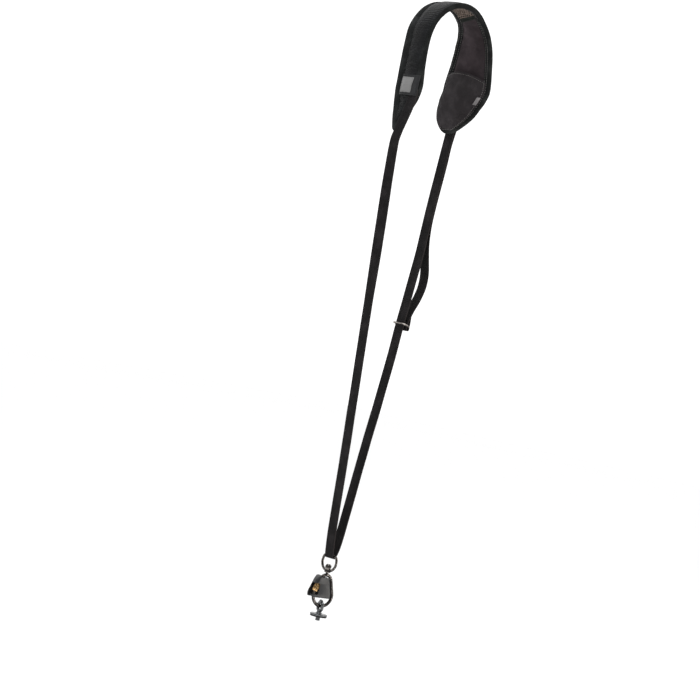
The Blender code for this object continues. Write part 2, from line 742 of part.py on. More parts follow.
def make_hook(parent, materials):
    """A pear-shaped hook on a headed stem, closed by its gate and locking sleeve."""
    upper, lower = hook_centres()
    slope = HOOK_SLOPE
    points = arc_points(upper, HOOK_TOP_RADIUS, math.pi - slope, slope, 12)
    points += arc_points(lower, HOOK_BOW_RADIUS, slope, -math.pi - slope, 24)
    frame = curve_to_mesh(wire("hook", points, HOOK_WIRE, None), materials["dark metal"])
    stem_top = HUB_HEIGHT / 2 + GAP
    stem = cylinder("hook_stem", STEM_RADIUS, upper.z + HOOK_TOP_RADIUS, stem_top + GAP, sides=12)
    head = cylinder("hook_head", HEAD_RADIUS, stem_top, stem_top + HEAD_HEIGHT)
    for item in (frame, stem, head):
        item.parent = parent
    combine(frame, stem, "UNION")
    combine(frame, head, "UNION")

    nose, heel = points[0], points[-1]
    along = (nose - heel).normalized()
    gate_length = (nose - heel).length - 2 * GAP
    gate = cylinder("gate", GATE_RADIUS, -gate_length / 2, gate_length / 2,
                    materials["dark metal"], sides=16)
    outer, inner = SLEEVE_RADIUS, GATE_RADIUS + GAP
    half, chamfer = SLEEVE_LENGTH / 2, 0.15 * SLEEVE_RADIUS
    rows = [(inner, half), (outer - chamfer, half), (outer, half - chamfer),
            (outer, chamfer - half), (outer - chamfer, -half), (inner, -half)]
    sleeve = turned("locking_sleeve", rows, materials["brass"], closed=True)
    for item in (gate, sleeve):
        item.parent = parent
        item.location = (nose + heel) / 2
        item.rotation_euler = (0, math.atan2(along.x, along.z), 0)


def hook_side(height):
    """Distance of the hook's sides from its middle plane at a height."""
    upper, lower = hook_centres()
    if height < lower.z + HOOK_BOW_RADIUS * math.sin(HOOK_SLOPE):
        return math.sqrt(HOOK_BOW_RADIUS ** 2 - (height - lower.z) ** 2)
    return (HOOK_TOP_RADIUS + (upper.z - height) * math.sin(HOOK_SLOPE)) / math.cos(HOOK_SLOPE)


def make_cover(parent, material):
    """A hollow plastic shell, deepest round the gate, with a window and an open bottom."""
    top = -HUB_HEIGHT / 2 - NECK - COVER_TOP
    bottom = top - COVER_HEIGHT
    middle = (top + bottom) / 2
    mid_wall = COVER_WALL / 2
    gate_side = (COVER_DEPTH / 2 + COVER_REACH - mid_wall) / math.cos(HOOK_SLOPE)
    spine_side = (HOOK_WIRE / 2 + COVER_INSET + mid_wall) / math.cos(HOOK_SLOPE)
    corners = 6

    def place(u, v):
        height = top + (bottom - top) * v
        turn = 2 * math.pi * (u % 1.0)
        quarter = min(3, int(turn / (math.pi / 2)))
        if quarter in (0, 3):
            corner, depth = COVER_EDGE_CORNER, COVER_EDGE
            centre = hook_side(height) - spine_side - corner
        else:
            corner, depth = COVER_CORNER, COVER_DEPTH
            centre = corner - hook_side(height) - gate_side
        side = (1 if quarter < 2 else -1) * (depth / 2 - mid_wall - corner)
        x = centre + corner * math.cos(turn)
        gate_share = max(0.0, -math.cos(turn))
        if height > middle:
            closed = gate_share * max(0.0, 1 - (top - height) / COVER_DOME)
            x += DOME_REACH * closed ** 2
            height += DOME_RISE * closed
        else:
            inwards = (x + hook_side(height) + gate_side) / COVER_ROUND
            drawn = COVER_ROUND * (1 - math.sqrt(1 - max(0.0, 1 - inwards) ** 2))
            height += (middle - height) * 2 * drawn / COVER_HEIGHT
        return Vector((x, side + corner * math.sin(turn), height))

    def split_place(u, v):
        """Each quarter turn has its own points, so the flat sides stay flat."""
        slot = round(u * 4 * (corners + 1))
        quarter, step = divmod(slot % (4 * (corners + 1)), corners + 1)
        nudge = 1e-6 if step == 0 else (-1e-6 if step == corners else 0.0)
        return place((quarter + step / corners) / 4 + nudge, v)
    cover = mapped_sheet("cover", 4 * (corners + 1), 8, split_place, COVER_WALL, material)
    cover.parent = parent

    window_top = top - 0.31 * COVER_HEIGHT
    window_bottom = bottom + 0.13 * COVER_HEIGHT
    gate_place = -hook_side((window_top + window_bottom) / 2)
    window = box("cover_window", (2 * gate_place, -COVER_DEPTH, window_bottom),
                 (gate_place + 0.4 * SLEEVE_RADIUS, 0.32 * COVER_DEPTH, window_top))
    rounding = window.modifiers.new("round", "BEVEL")
    rounding.width = 0.09 * COVER_HEIGHT
    rounding.segments = 3
    passage = COVER_EDGE / 2 - 1.1 * COVER_WALL
    notch = box("cover_notch", (0, -passage, top - 0.2 * COVER_HEIGHT),
                (3 * HOOK_BOW_RADIUS, passage, top + COVER_HEIGHT))
    window.parent = notch.parent = parent
    combine(cover, window, "DIFFERENCE")
    combine(cover, notch, "DIFFERENCE")


def rounded_loop(half, bottom, top, corner, steps=3):
    """A rectangle with round corners as (across, height) points."""
    loop = []
    for quarter, (x, z) in enumerate(((half - corner, top - corner), (corner - half, top - corner),
                                      (corner - half, bottom + corner), (half - corner, bottom + corner))):
        for step in range(steps + 1):
            angle = math.pi / 2 * (quarter + step / steps)
            loop.append((x + corner * math.cos(angle), z + corner * math.sin(angle)))
    return loop


def foot_levels():
    """Heights of the foot from the middle of the hook's bow."""
    eye_top = HOOK_WIRE / 2 + GAP + EYE_WIRE
    eye_bottom = -HOOK_WIRE / 2 - EYE_SLACK
    disc_top = eye_bottom - FOOT_FLARE
    return eye_top, eye_bottom, disc_top


def make_foot(parent, materials):
    """An eye round the hook's bow on a flared neck, a disc and a threaded stud."""
    eye_top, eye_bottom, disc_top = foot_levels()
    disc_bottom = disc_top - DISC_THICKNESS
    stud_bottom = disc_bottom - GAP - WASHER_THICKNESS - STUD_LENGTH
    edge = 0.2 * DISC_THICKNESS
    rows = [(0, eye_bottom - 2 * GAP), (0.7 * FOOT_NECK / 2, eye_bottom - 2 * GAP),
            (FOOT_NECK / 2, eye_bottom - 0.3 * FOOT_FLARE), (0.9 * FOOT_NECK, disc_top),
            (DISC_RADIUS - edge, disc_top), (DISC_RADIUS, disc_top - edge),
            (DISC_RADIUS, disc_bottom + edge), (DISC_RADIUS - edge, disc_bottom),
            (STUD_RADIUS, disc_bottom)]
    height = disc_bottom - GAP - WASHER_THICKNESS
    while height - STUD_PITCH > stud_bottom:
        rows += [(STUD_RADIUS, height), (STUD_RADIUS - STUD_THREAD, height - STUD_PITCH / 2)]
        height -= STUD_PITCH
    rows += [(STUD_RADIUS, height), (STUD_RADIUS - STUD_THREAD, stud_bottom), (0, stud_bottom)]
    foot = turned("foot", rows, materials["steel"])
    half = HOOK_WIRE / 2 + EYE_CLEARANCE + EYE_WIRE / 2
    loop = rounded_loop(half, eye_bottom - EYE_WIRE / 2, eye_top - EYE_WIRE / 2, 0.75 * half)
    eye = wire("foot_eye", [Vector((0, across, height)) for across, height in loop], EYE_WIRE,
               None, cyclic=True)
    crown_top = eye_top - EYE_WIRE / 2 + EYE_CROWN
    crown = wire("foot_crown", [Vector((0, side * CROWN_SHARE * half, crown_top)) for side in (-1, 1)],
                 EYE_WIRE, None)
    eye, crown = (curve_to_mesh(item, materials["steel"]) for item in (eye, crown))
    foot.parent = eye.parent = crown.parent = parent
    combine(foot, eye, "UNION")
    combine(foot, crown, "UNION")

    washer_top = disc_bottom - GAP
    inner_radius = STUD_RADIUS + GAP
    washer_rows = [(inner_radius, washer_top), (WASHER_RADIUS, washer_top),
                   (WASHER_RADIUS, washer_top - WASHER_THICKNESS),
                   (inner_radius, washer_top - WASHER_THICKNESS)]
    washer = turned("rubber_washer", washer_rows, materials["rubber"], closed=True)
    washer.parent = parent


def make_materials():
    return {
        "foam": make_material("foam", (0.02, 0.02, 0.02), 0.9),
        "edge cloth": make_material("edge cloth", (0.013, 0.0135, 0.0132), 0.8),
        "ribbed cloth": make_material("ribbed cloth", (0.012, 0.0125, 0.015), 0.75),
        "lining": make_material("lining", (0.03, 0.0235, 0.0255), 0.85),
        "mesh": make_material("mesh", (0.11, 0.085, 0.07), 0.8),
        "pocket cloth": make_material("pocket cloth", (0.028, 0.0245, 0.0255), 0.85),
        "patch": make_material("patch", (0.01, 0.01, 0.0105), 0.6),
        "tag": make_material("tag", (0.30, 0.28, 0.28), 0.7),
        "webbing": make_material("webbing", (0.01, 0.0085, 0.0088), 0.8),
        "dark metal": make_material("dark metal", (0.085, 0.077, 0.072), 0.25, 1.0),
        "brass": make_material("brass", (0.4, 0.25, 0.11), 0.25, 1.0),
        "cover plastic": make_material("cover plastic", (0.05, 0.05, 0.0515), 0.55),
        "steel": make_material("steel", (0.25, 0.255, 0.26), 0.3, 1.0),
        "rubber": make_material("rubber", (0.02, 0.02, 0.02), 0.85),
    }


def main():
    clear_scene()
    materials = make_materials()
    make_pad(materials)
    make_webbing(materials)
    make_keeper(materials["dark metal"])
    make_slider(materials["dark metal"])
    ring_axis = axis_empty("ring_axis", None, (0, 0, -DROP))
    make_ring(ring_axis, materials["dark metal"])
    swivel_axis = axis_empty("swivel_axis", ring_axis, (0, 0, -RING_HEIGHT), HOOK_TURN)
    make_hook(swivel_axis, materials)
    make_cover(swivel_axis, materials["cover plastic"])
    bow = -HUB_HEIGHT / 2 - NECK - HOOK_WIRE / 2 - HOOK_HEIGHT
    foot_axis = axis_empty("foot_axis", swivel_axis, (0, 0, bow))
    make_foot(foot_axis, materials)


main()
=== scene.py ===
"""Looks of a camera sling strap: its shoulder pad, webbing loop, slider, swivel hook and camera foot.

X runs from the front strand to the back strand, Y across the webbing, Z up, in metres.
Each operator makes one piece or a group of like pieces and ties it to its body.
"""
import json
import math
from collections import namedtuple
from functools import lru_cache

import bmesh
import bpy
import numpy as np
from bpy.props import FloatProperty, FloatVectorProperty, IntProperty, PointerProperty
from mathutils import Matrix, Vector, noise
from mathutils.geometry import interpolate_bezier


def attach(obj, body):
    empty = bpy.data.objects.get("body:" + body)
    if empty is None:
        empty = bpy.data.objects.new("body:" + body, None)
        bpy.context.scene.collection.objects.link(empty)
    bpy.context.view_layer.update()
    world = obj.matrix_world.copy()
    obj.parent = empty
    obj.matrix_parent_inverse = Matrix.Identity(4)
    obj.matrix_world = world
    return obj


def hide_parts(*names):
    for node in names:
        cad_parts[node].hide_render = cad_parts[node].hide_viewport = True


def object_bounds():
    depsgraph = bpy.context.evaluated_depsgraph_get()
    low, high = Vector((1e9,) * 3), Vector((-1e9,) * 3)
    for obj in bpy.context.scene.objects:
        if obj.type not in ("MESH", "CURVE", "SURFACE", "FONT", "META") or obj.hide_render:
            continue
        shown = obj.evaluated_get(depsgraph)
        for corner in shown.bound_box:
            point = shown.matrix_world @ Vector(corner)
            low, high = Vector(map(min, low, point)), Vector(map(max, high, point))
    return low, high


bl_info = {
    "name": "Camera sling strap",
    "version": (1, 0, 0),
    "blender": (4, 5, 0),
    "location": "3D View > Sidebar > Strap",
    "description": "Dresses the solids of a camera sling strap with cloth, webbing and metal",
    "category": "Add Mesh",
}

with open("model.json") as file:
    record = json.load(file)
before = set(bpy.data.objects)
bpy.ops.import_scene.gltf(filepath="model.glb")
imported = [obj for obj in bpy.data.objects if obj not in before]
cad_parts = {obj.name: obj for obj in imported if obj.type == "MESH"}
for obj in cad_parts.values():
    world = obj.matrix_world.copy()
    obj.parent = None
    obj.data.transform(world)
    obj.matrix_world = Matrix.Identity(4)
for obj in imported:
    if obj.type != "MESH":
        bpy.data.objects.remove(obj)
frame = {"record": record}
CAD_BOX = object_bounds()
COLOURS = {item["slot"]: tuple(item["base_color"][:3]) for item in frame["record"]["materials"]}

# The strap's shape, with the same sizes as its solids
CLOTH = 0.0010
PAD_WIDTH = 0.0789
PAD_THICKNESS = 0.0055
HALF_PAD = PAD_THICKNESS / 2
ARCH_RADIUS = 0.0516
ARCH_X = 0.0168
FRONT_ARM = 0.1200
BACK_ARM = 0.1035
BACK_BEND = 0.0595
BACK_BEND_RADIUS = 0.442
FRONT_ROUND = 0.005
BACK_ROUND = 0.034
PAD_DRIFT = 0.0166
OUTER_BORDER = 0.0089
INNER_BORDER = 0.0100
MESH_WINDOW = 0.0520
WINDOW_SLANT = 0.0045
POCKET_LENGTH = 0.0795
POCKET_DEPTH = 0.0068
POCKET_INSET = 0.0045
POCKET_RISE = 0.0070
POCKET_SLOPE = 0.0030
PATCH_LENGTH = 0.026
PATCH_WIDTH = 0.030
PATCH_PLACE = 0.1425
PATCH_SIDE = -0.0073
LABEL_SIZE = 0.0195
LABEL_MIDDLE = 0.64  # share of the patch's width
LABEL_CLOTH = 0.0006
TAG_LENGTH = 0.010
TAG_WIDTH = 0.0053
TAG_PLACE = 0.0445
TAG_MARGIN = 0.0055
TAG_TILT = 0.26  # slope against the pad's face
WEB_WIDTH = 0.0150
WEB_THICKNESS = 0.0016
WEB_CLEARANCE = 0.0008
GAP = 0.0003
DROP = 0.7027
FRONT_LEAVE_SIDE = -0.0148
FRONT_TURN = math.radians(12)
FRONT_TURN_START = 0.169
FRONT_TURN_END = 0.385
BACK_SIDE = 0.0120
KEEPER_WIRE = 0.0030
KEEPER_PLACE = 0.030
SLIDER_WIRE = 0.0022
SLIDER_SLOT = 0.0034
SLIDER_TILT = math.radians(12)
SLIDER_PLACE = 0.4015
RETURN_BULGE = 0.0175
RETURN_LEAVE = 0.2700
RETURN_START = 0.010
RETURN_END = 0.011
RETURN_APPROACH = 0.0078
RETURN_ENTRY = 0.002
RETURN_TAIL = 0.012
RETURN_SAG = 0.003
RING_WIDTH = 0.0245
RING_HEIGHT = 0.0192
RING_WIRE = 0.0033
HUB_RADIUS = 0.0040
HUB_HEIGHT = 0.0050
STEM_RADIUS = 0.0017
HEAD_RADIUS = 0.0039
HEAD_HEIGHT = 0.0056
NECK = 0.0012
HOOK_TURN = math.radians(-12)
HOOK_WIRE = 0.0042
HOOK_HEIGHT = 0.0396
HOOK_TOP_RADIUS = 0.0082
HOOK_BOW_RADIUS = 0.0136
GATE_RADIUS = 0.0020
SLEEVE_RADIUS = 0.0042
SLEEVE_LENGTH = 0.0165
COVER_DEPTH = 0.0122
COVER_EDGE = 0.0072
COVER_REACH = 0.0010
COVER_INSET = 0.0012
COVER_WALL = 0.0011
COVER_HEIGHT = 0.0258
COVER_TOP = 0.0052
COVER_CORNER = 0.0034
COVER_EDGE_CORNER = 0.0014
COVER_ROUND = 0.0036
COVER_DOME = 0.0050
DOME_RISE = 0.0020
DOME_REACH = 0.0042
EYE_WIRE = 0.0041
EYE_CROWN = 0.0018
CROWN_SHARE = 0.4  # of the eye's half width
EYE_CLEARANCE = 0.0005
EYE_SLACK = 0.0012
FOOT_NECK = 0.0052
FOOT_FLARE = 0.0062
DISC_RADIUS = 0.0110
DISC_THICKNESS = 0.0023
WASHER_RADIUS = 0.0106
WASHER_THICKNESS = 0.0012
STUD_RADIUS = 0.003175
STUD_LENGTH = 0.0050
STUD_PITCH = 0.00127
STUD_THREAD = 0.0006

# Details, most of them finer than the solids show
GROOVE = 0.0018  # from a border's inner edge to its sewn groove
STITCH_INSET = OUTER_BORDER - 1.6 * GROOVE
PANEL_TUCK = 0.0012  # how far a panel reaches under its border
TAPE_COVER = 0.0010  # how far a tape reaches over the window
TAPE_REACH = 0.0058  # how far it reaches past the window
TAPE_CLOTH = 0.0007
POCKET_CLOTH = 0.0009
TAG_CLOTH = 0.0008
STITCH_THREAD = 0.00055
STITCH_SHARE = 0.74  # a stitch's length as a share of the pitch
RIM_STITCHES = 0.45  # the inner face's second row, as a share of its border
COLUMN_CROWDING = 0.06  # how much the pad's columns crowd at its ends
SEWN_DEPTH = 0.0004  # of the window and its tapes, below the pad's face
SEWN_SIDE = 0.03  # where a row of stitches across a cloth starts, as a share of the cloth
TAPE_ROW = 0.16  # where a tape's rows of stitches run, as a share of its width
CRUMPLE_SMALL = 0.00016
CRUMPLE_WIDE = 0.00030
CRUMPLE_FOLDS = 0.0007  # of the folds over the shoulder, on the inner face
FOLDS_REACH = 0.07  # how far from the top they fade
THREAD_PULL = 0.00012  # how deep a stitch pulls the rim in
PILLOW = 0.0005  # how far the patch's middle stands out
WEB_STEP = 0.003
WEB_LEAVE = 12  # degrees above level where the webbing leaves the ring
WEB_BESIDE = 1.1 * (WEB_THICKNESS + GAP)  # between the return strand and the back strand
# Reach and spread of the proud-edge mask, which lightens the metals as rubbing and as a painted highlight
WEAR_AND_HIGHLIGHT_REACH = 0.00012
WEAR_AND_HIGHLIGHT_SPREAD = 3
SETTLE_FRAMES = 24
SETTLE_SCALE = 10.0  # cloth settles better when it is larger
MERGE = 0.000005
FLOOR_HALF = 12
LOOKUP_STEP = 0.004  # along the back strand, where its place at a height is looked up
SWAY_FADE = 0.03  # from a strand's ends, over which it starts to sway
RIM_CALM = 0.002  # below this height over the rim's middle, its crumples fade
RIM_SWAY = 0.0005
GROOVE_HALF = 0.0008  # of the dip that the stitches pull in
NET_ROWS = 0.866  # between the net's rows, as a share of its pitch
NET_THREAD = 0.14  # of its pitch
TAPE_PUFF = 0.0004
TAPE_THREAD = 0.0004  # from a tape's middle to its stitches
POCKET_OFF = 0.0009  # between the pad's face and the pocket's rim
POCKET_CRUMPLE = 0.0012
HUB_CLEARANCE = 0.0004
HEAD_EDGE = 0.0004
# The window in the cover and the notch in its top, as shares of its height unless noted
WINDOW_TOP = 0.31
WINDOW_BOTTOM = 0.13
WINDOW_SIDE = 0.32  # of its depth, past its middle
WINDOW_REACH = 0.4  # of the sleeve's radius, past the gate's middle
WINDOW_CORNER = 0.09
NOTCH_DEPTH = 0.2
NOTCH_WALL = 1.1  # of the cover's wall, left on each side
COVER_BEVEL = 0.00022

# From the front arm's tip at -1 over the top at 0 to the back arm's tip at 1: shares of PAD_WIDTH
# and PAD_DRIFT
PadRow = namedtuple("PadRow", "place width drift")
PAD_ROWS = [PadRow(*row) for row in (
    (-1.000, 0.100, 0.39), (-0.930, 0.220, 0.31), (-0.855, 0.390, 0.06), (-0.786, 0.510, -0.09),
    (-0.710, 0.565, -0.14), (-0.600, 0.535, -0.06), (-0.480, 0.520, 0.00), (-0.170, 0.565, -0.20),
    (0.000, 0.600, -0.26), (0.187, 0.590, -0.16), (0.315, 0.705, -0.06), (0.384, 0.785, 0.00),
    (0.517, 0.890, -0.09), (0.683, 1.000, -0.12), (0.752, 0.980, 0.09), (0.816, 0.895, 0.33),
    (0.885, 0.810, 0.53), (0.925, 0.745, 0.66), (1.000, 0.590, 0.80),
)]
# Down a strand: shares of DROP, of its X where it leaves the pad, and of its Y there
StrandRow = namedtuple("StrandRow", "drop reach side")
FRONT_ROWS = [StrandRow(*row) for row in (
    (0.2590, 1.000, 0.02), (0.3680, 0.885, 0.00), (0.4390, 0.790, 0.00), (0.5105, 0.708, 0.00),
    (0.5820, 0.620, 0.00), (0.7240, 0.436, 0.00), (0.8260, 0.308, 0.00), (0.9020, 0.225, 0.00),
    (0.9560, 0.170, 0.00), (0.9850, 0.112, 0.00),
)]
BACK_ROWS = [StrandRow(*row) for row in (
    (0.2615, 0.945, 0.85), (0.3680, 0.817, 0.56), (0.4390, 0.752, 0.37), (0.5105, 0.645, 0.17),
    (0.5714, 0.552, 0.00), (0.6530, 0.480, 0.00), (0.7240, 0.398, 0.00), (0.8260, 0.275, 0.00),
    (0.9020, 0.195, 0.00), (0.9560, 0.136, 0.00), (0.9850, 0.093, 0.00),
)]
# Down the return strand's free run, as shares of RETURN_BULGE
BulgeRow = namedtuple("BulgeRow", "place out")
BULGE_ROWS = [BulgeRow(*row) for row in (
    (0.05, 0.03), (0.21, 0.20), (0.37, 0.56), (0.50, 0.90), (0.60, 1.03), (0.69, 1.02),
    (0.82, 0.80), (0.92, 0.52),
)]
# How much wider the outer face's borders are than OUTER_BORDER, in metres
BorderRow = namedtuple("BorderRow", "place near far")
BORDER_ROWS = [BorderRow(*row) for row in (
    (-1.00, 0.0012, 0.0026), (-0.60, 0.0012, 0.0030), (-0.49, -0.0016, 0.0036), (-0.32, -0.0042, 0.0034),
    (-0.15, -0.0042, 0.0018), (0.10, 0.0000, 0.0000), (1.00, 0.0000, 0.0000),
)]
# Up the front strand's sewn run on the pad: shares of the run and of FRONT_LEAVE_SIDE
SewnRow = namedtuple("SewnRow", "up side")
SEWN_ROWS = [SewnRow(*row) for row in (
    (-0.15, 1.02), (0.0, 1.08), (0.33, 0.88), (0.66, 0.54), (0.95, 0.24),
)]
# Half of the ring's outline, as shares of its half width and its height
RingRow = namedtuple("RingRow", "y z")
RING_ROWS = [RingRow(*row) for row in (
    (0.00, 0.00), (0.40, 0.00), (0.72, -0.02), (0.90, -0.12), (0.98, -0.30), (0.99, -0.52),
    (0.86, -0.74), (0.58, -0.92), (0.28, -0.99),
)]

QUARTER = ARCH_RADIUS * math.pi / 2
FRONT_LENGTH = QUARTER + FRONT_ARM
BACK_LENGTH = QUARTER + BACK_ARM
WEB_LEVEL = HALF_PAD + GAP + WEB_THICKNESS / 2
WEB_PITCH = WEB_THICKNESS + GAP
RING_WRAP = RING_WIRE / 2 + GAP + WEB_THICKNESS / 2
KEEPER_WRAP = KEEPER_WIRE / 2 + GAP + WEB_THICKNESS / 2
KEEPER_LEVEL = WEB_LEVEL + KEEPER_WRAP
SLIDER_PITCH = SLIDER_SLOT + SLIDER_WIRE
HOOK_SLOPE = math.asin(
    (HOOK_BOW_RADIUS - HOOK_TOP_RADIUS) / (HOOK_HEIGHT - HOOK_TOP_RADIUS - HOOK_BOW_RADIUS))
HUB_Z = -DROP - RING_HEIGHT
HOOK_TOP_Z = HUB_Z - HUB_HEIGHT / 2 - NECK
UPPER_Z = HOOK_TOP_Z - HOOK_WIRE / 2 - HOOK_TOP_RADIUS
LOWER_Z = HOOK_TOP_Z - HOOK_WIRE / 2 - HOOK_HEIGHT + HOOK_BOW_RADIUS
BOW_Z = LOWER_Z - HOOK_BOW_RADIUS
EYE_TOP_Z = BOW_Z + HOOK_WIRE / 2 + GAP + EYE_WIRE
EYE_BOTTOM_Z = BOW_Z - HOOK_WIRE / 2 - EYE_SLACK
DISC_TOP_Z = EYE_BOTTOM_Z - FOOT_FLARE
DISC_BOTTOM_Z = DISC_TOP_Z - DISC_THICKNESS

Arc = namedtuple("Arc", "length radius")
FRONT_ARCS = [Arc(QUARTER, ARCH_RADIUS), Arc(FRONT_ARM, None)]
BACK_ARCS = [
    Arc(QUARTER, ARCH_RADIUS), Arc(BACK_ARM - BACK_BEND, None), Arc(BACK_BEND, BACK_BEND_RADIUS)]


def length_value(name, description, default):
    return FloatProperty(name=name, description=description, default=default, unit="LENGTH", precision=5)


def colour_value(name, description, default):
    return FloatVectorProperty(name=name, description=description, default=default,
                               subtype="COLOR", min=0, max=1)


class PadLook(bpy.types.PropertyGroup):
    """Sizes and colours of the shoulder pad's cloth."""
    rib_pitch: length_value("Rib pitch", "Distance between the outer panel's ribs", 0.0031)
    rib_height: length_value("Rib height", "Height of the outer panel's ribs", 0.00042)
    puff: length_value("Puff", "How far the panels stand out in their middle", 0.0012)
    stitch_pitch: length_value("Stitch pitch", "Distance between stitches", 0.0031)
    hole_pitch: length_value("Hole pitch", "Distance between the mesh window's holes", 0.0042)
    weave_pitch: length_value("Weave pitch", "Distance between the threads of the edge cloth", 0.0007)
    edge_colour: colour_value("Edge cloth", "Cloth folded round the rim", COLOURS["edge_cloth"])
    rib_colour: colour_value("Ribbed cloth", "Outer panel", COLOURS["ribbed_cloth"])
    lining_colour: colour_value("Lining", "Panels on the inner face", COLOURS["lining"])
    mesh_colour: colour_value("Mesh", "Net of the window", COLOURS["mesh"])
    pocket_colour: colour_value("Pocket", "Pocket cloth", COLOURS["pocket_cloth"])
    patch_colour: colour_value("Patch", "Bare patch on the front arm", COLOURS["patch"])
    tag_colour: colour_value("Tag", "Bare tag beside the pocket", COLOURS["tag"])
    label_colour: colour_value("Label", "Bare label on the patch", (0.20, 0.195, 0.19))
    thread_colour: colour_value("Thread", "Stitches on the inner face", (0.15, 0.14, 0.135))
    dark_thread_colour: colour_value("Dark thread", "Stitches on the outer face", (0.006, 0.006, 0.007))


class WebbingLook(bpy.types.PropertyGroup):
    """Weave and colours of the webbing."""
    weave_pitch: length_value("Weave pitch", "Length of one herringbone thread", 0.0016)
    column: length_value("Column", "Width of one herringbone column", 0.0025)
    sway: length_value("Sway", "How far the webbing's edges wander", 0.0003)
    colour: colour_value("Webbing", "Webbing", COLOURS["webbing"])
    # Light colour of the webbing's edges: partly from rubbing, partly a painted highlight where they round
    # off
    worn_and_highlight_colour: colour_value("Worn webbing", "Rubbed edges of the webbing", (0.035, 0.029, 0.028))


class FittingLook(bpy.types.PropertyGroup):
    """Detail and colours of the metal, plastic and rubber fittings."""
    detail: length_value("Detail", "Finest detail of the cast fittings", 0.00024)
    knurls: IntProperty(name="Knurls", description="Ridges round the sleeve", default=14, min=3)
    dark_colour: colour_value("Dark metal", "Plated metal", COLOURS["dark_metal"])
    # Light colour of proud metal edges: partly bare metal from rubbing, partly a painted highlight
    worn_and_highlight_colour: colour_value("Worn metal", "Bare metal at rubbed edges", (0.75, 0.68, 0.62))
    brass_colour: colour_value("Brass", "Locking sleeve", COLOURS["brass"])
    cover_colour: colour_value("Cover", "Moulded cover", COLOURS["cover_plastic"])
    steel_colour: colour_value("Steel", "Camera foot", COLOURS["steel"])
    rubber_colour: colour_value("Rubber", "Washer", COLOURS["rubber"])


class StageLook(bpy.types.PropertyGroup):
    """Camera, light and floor."""
    distance: length_value("Camera distance", "From the camera to the strap", 3.0)
    frame_width: length_value("Frame width", "Width that the camera takes in at the strap", 0.875)
    aim_side: length_value("Aim side", "Where the camera aims, to the side of the plumb line", -0.0285)
    aim_height: length_value("Aim height", "Where the camera aims, above the origin", -0.4463)
    azimuth: FloatProperty(name="Azimuth", description="Camera angle round the strap",
                           default=math.radians(-45), subtype="ANGLE")
    roll: FloatProperty(name="Roll", description="Tilt of the camera about its own axis",
                        default=math.radians(11.7), subtype="ANGLE")
    floor_drop: length_value("Floor drop", "From the foot down to the floor", 0.115)
    sky: FloatProperty(name="Sky", description="Strength of the even light", default=1.25)
    band: FloatProperty(name="Band", description="Strength of the dim band behind the camera", default=0.3)
    key: FloatProperty(name="Key", description="Power of the light above", default=9.0, subtype="POWER")
    side: FloatProperty(name="Side", description="Power of the light at the left", default=3.0,
                        subtype="POWER")
    fill: FloatProperty(name="Fill", description="Power of the light at the right", default=5.0,
                        subtype="POWER")


def smooth_value(rows, column, place):
    """Read a column between its rows on a curve that doesn't overshoot them."""
    places = [row.place for row in rows]
    values = [getattr(row, column) for row in rows]
    steps = [(values[i + 1] - values[i]) / (places[i + 1] - places[i]) for i in range(len(rows) - 1)]
    index = max(0, min(len(rows) - 2, sum(1 for p in places if p <= place) - 1))

    def slope(i):
        if i == 0 or i == len(rows) - 1:
            return steps[min(i, len(steps) - 1)]
        before, after = steps[i - 1], steps[i]
        return 0.0 if before * after <= 0 else 2 * before * after / (before + after)

    width = places[index + 1] - places[index]
    t = (place - places[index]) / width
    start, end = values[index], values[index + 1]
    return (start * (1 + 2 * t) * (1 - t) ** 2 + slope(index) * width * t * (1 - t) ** 2
            + end * t * t * (3 - 2 * t) - slope(index + 1) * width * t * t * (1 - t))


def smooth_path(points, step):
    """Points about a step apart on one smooth curve through the given ones."""
    count = len(points)
    lengths = [(points[i + 1] - points[i]).length for i in range(count - 1)]

    def tangent(i):
        low, high = max(0, i - 1), min(count - 1, i + 1)
        return (points[high] - points[low]) / sum(lengths[low:high])

    path = [points[0]]
    for i, length in enumerate(lengths):
        pieces = max(1, round(length / step))
        near = points[i] + tangent(i) * length / 3
        far = points[i + 1] - tangent(i + 1) * length / 3
        path += interpolate_bezier(points[i], near, far, points[i + 1], pieces + 1)[1:]
    return path


def arc_points(centre, radius, start, end, count):
    """Points on an arc in the XZ plane, angles from +X towards +Z."""
    angles = [start + (end - start) * i / count for i in range(count + 1)]
    return [centre + radius * Vector((math.cos(a), 0, math.sin(a))) for a in angles]


def spine(s):
    """Point and outward direction of the pad's middle line, s along it from the top."""
    side = 1 if s >= 0 else -1
    left = abs(s)
    turned, x, z = 0.0, 0.0, HALF_PAD
    for arc in BACK_ARCS if s >= 0 else FRONT_ARCS:
        length = min(left, arc.length)
        left -= length
        if arc.radius is None:
            x += length * math.cos(turned)
            z -= length * math.sin(turned)
        else:
            end = turned + length / arc.radius
            x += arc.radius * (math.sin(end) - math.sin(turned))
            z += arc.radius * (math.cos(end) - math.cos(turned))
            turned = end
    return Vector((ARCH_X + side * x, 0, z)), Vector((side * math.sin(turned), 0, math.cos(turned)))


def pad_point(s, y, level):
    """A point at a height above the pad's middle line, outwards positive."""
    middle, outwards = spine(s)
    return middle + outwards * level + Vector((0, y, 0))


@lru_cache(maxsize=None)
def half_width(s):
    """Half the pad's width, s along it from the top."""
    length, tip_radius = (BACK_LENGTH, BACK_ROUND) if s > 0 else (FRONT_LENGTH, FRONT_ROUND)
    tip = max(0.0, length - abs(s))
    rounded = math.sqrt(1 - (1 - tip / tip_radius) ** 2) if tip < tip_radius else 1.0
    return PAD_WIDTH * smooth_value(PAD_ROWS, "width", s / length) * rounded / 2


@lru_cache(maxsize=None)
def drift(s):
    """Y of the middle between the pad's two rims."""
    length = BACK_LENGTH if s > 0 else FRONT_LENGTH
    return PAD_DRIFT * smooth_value(PAD_ROWS, "drift", s / length)


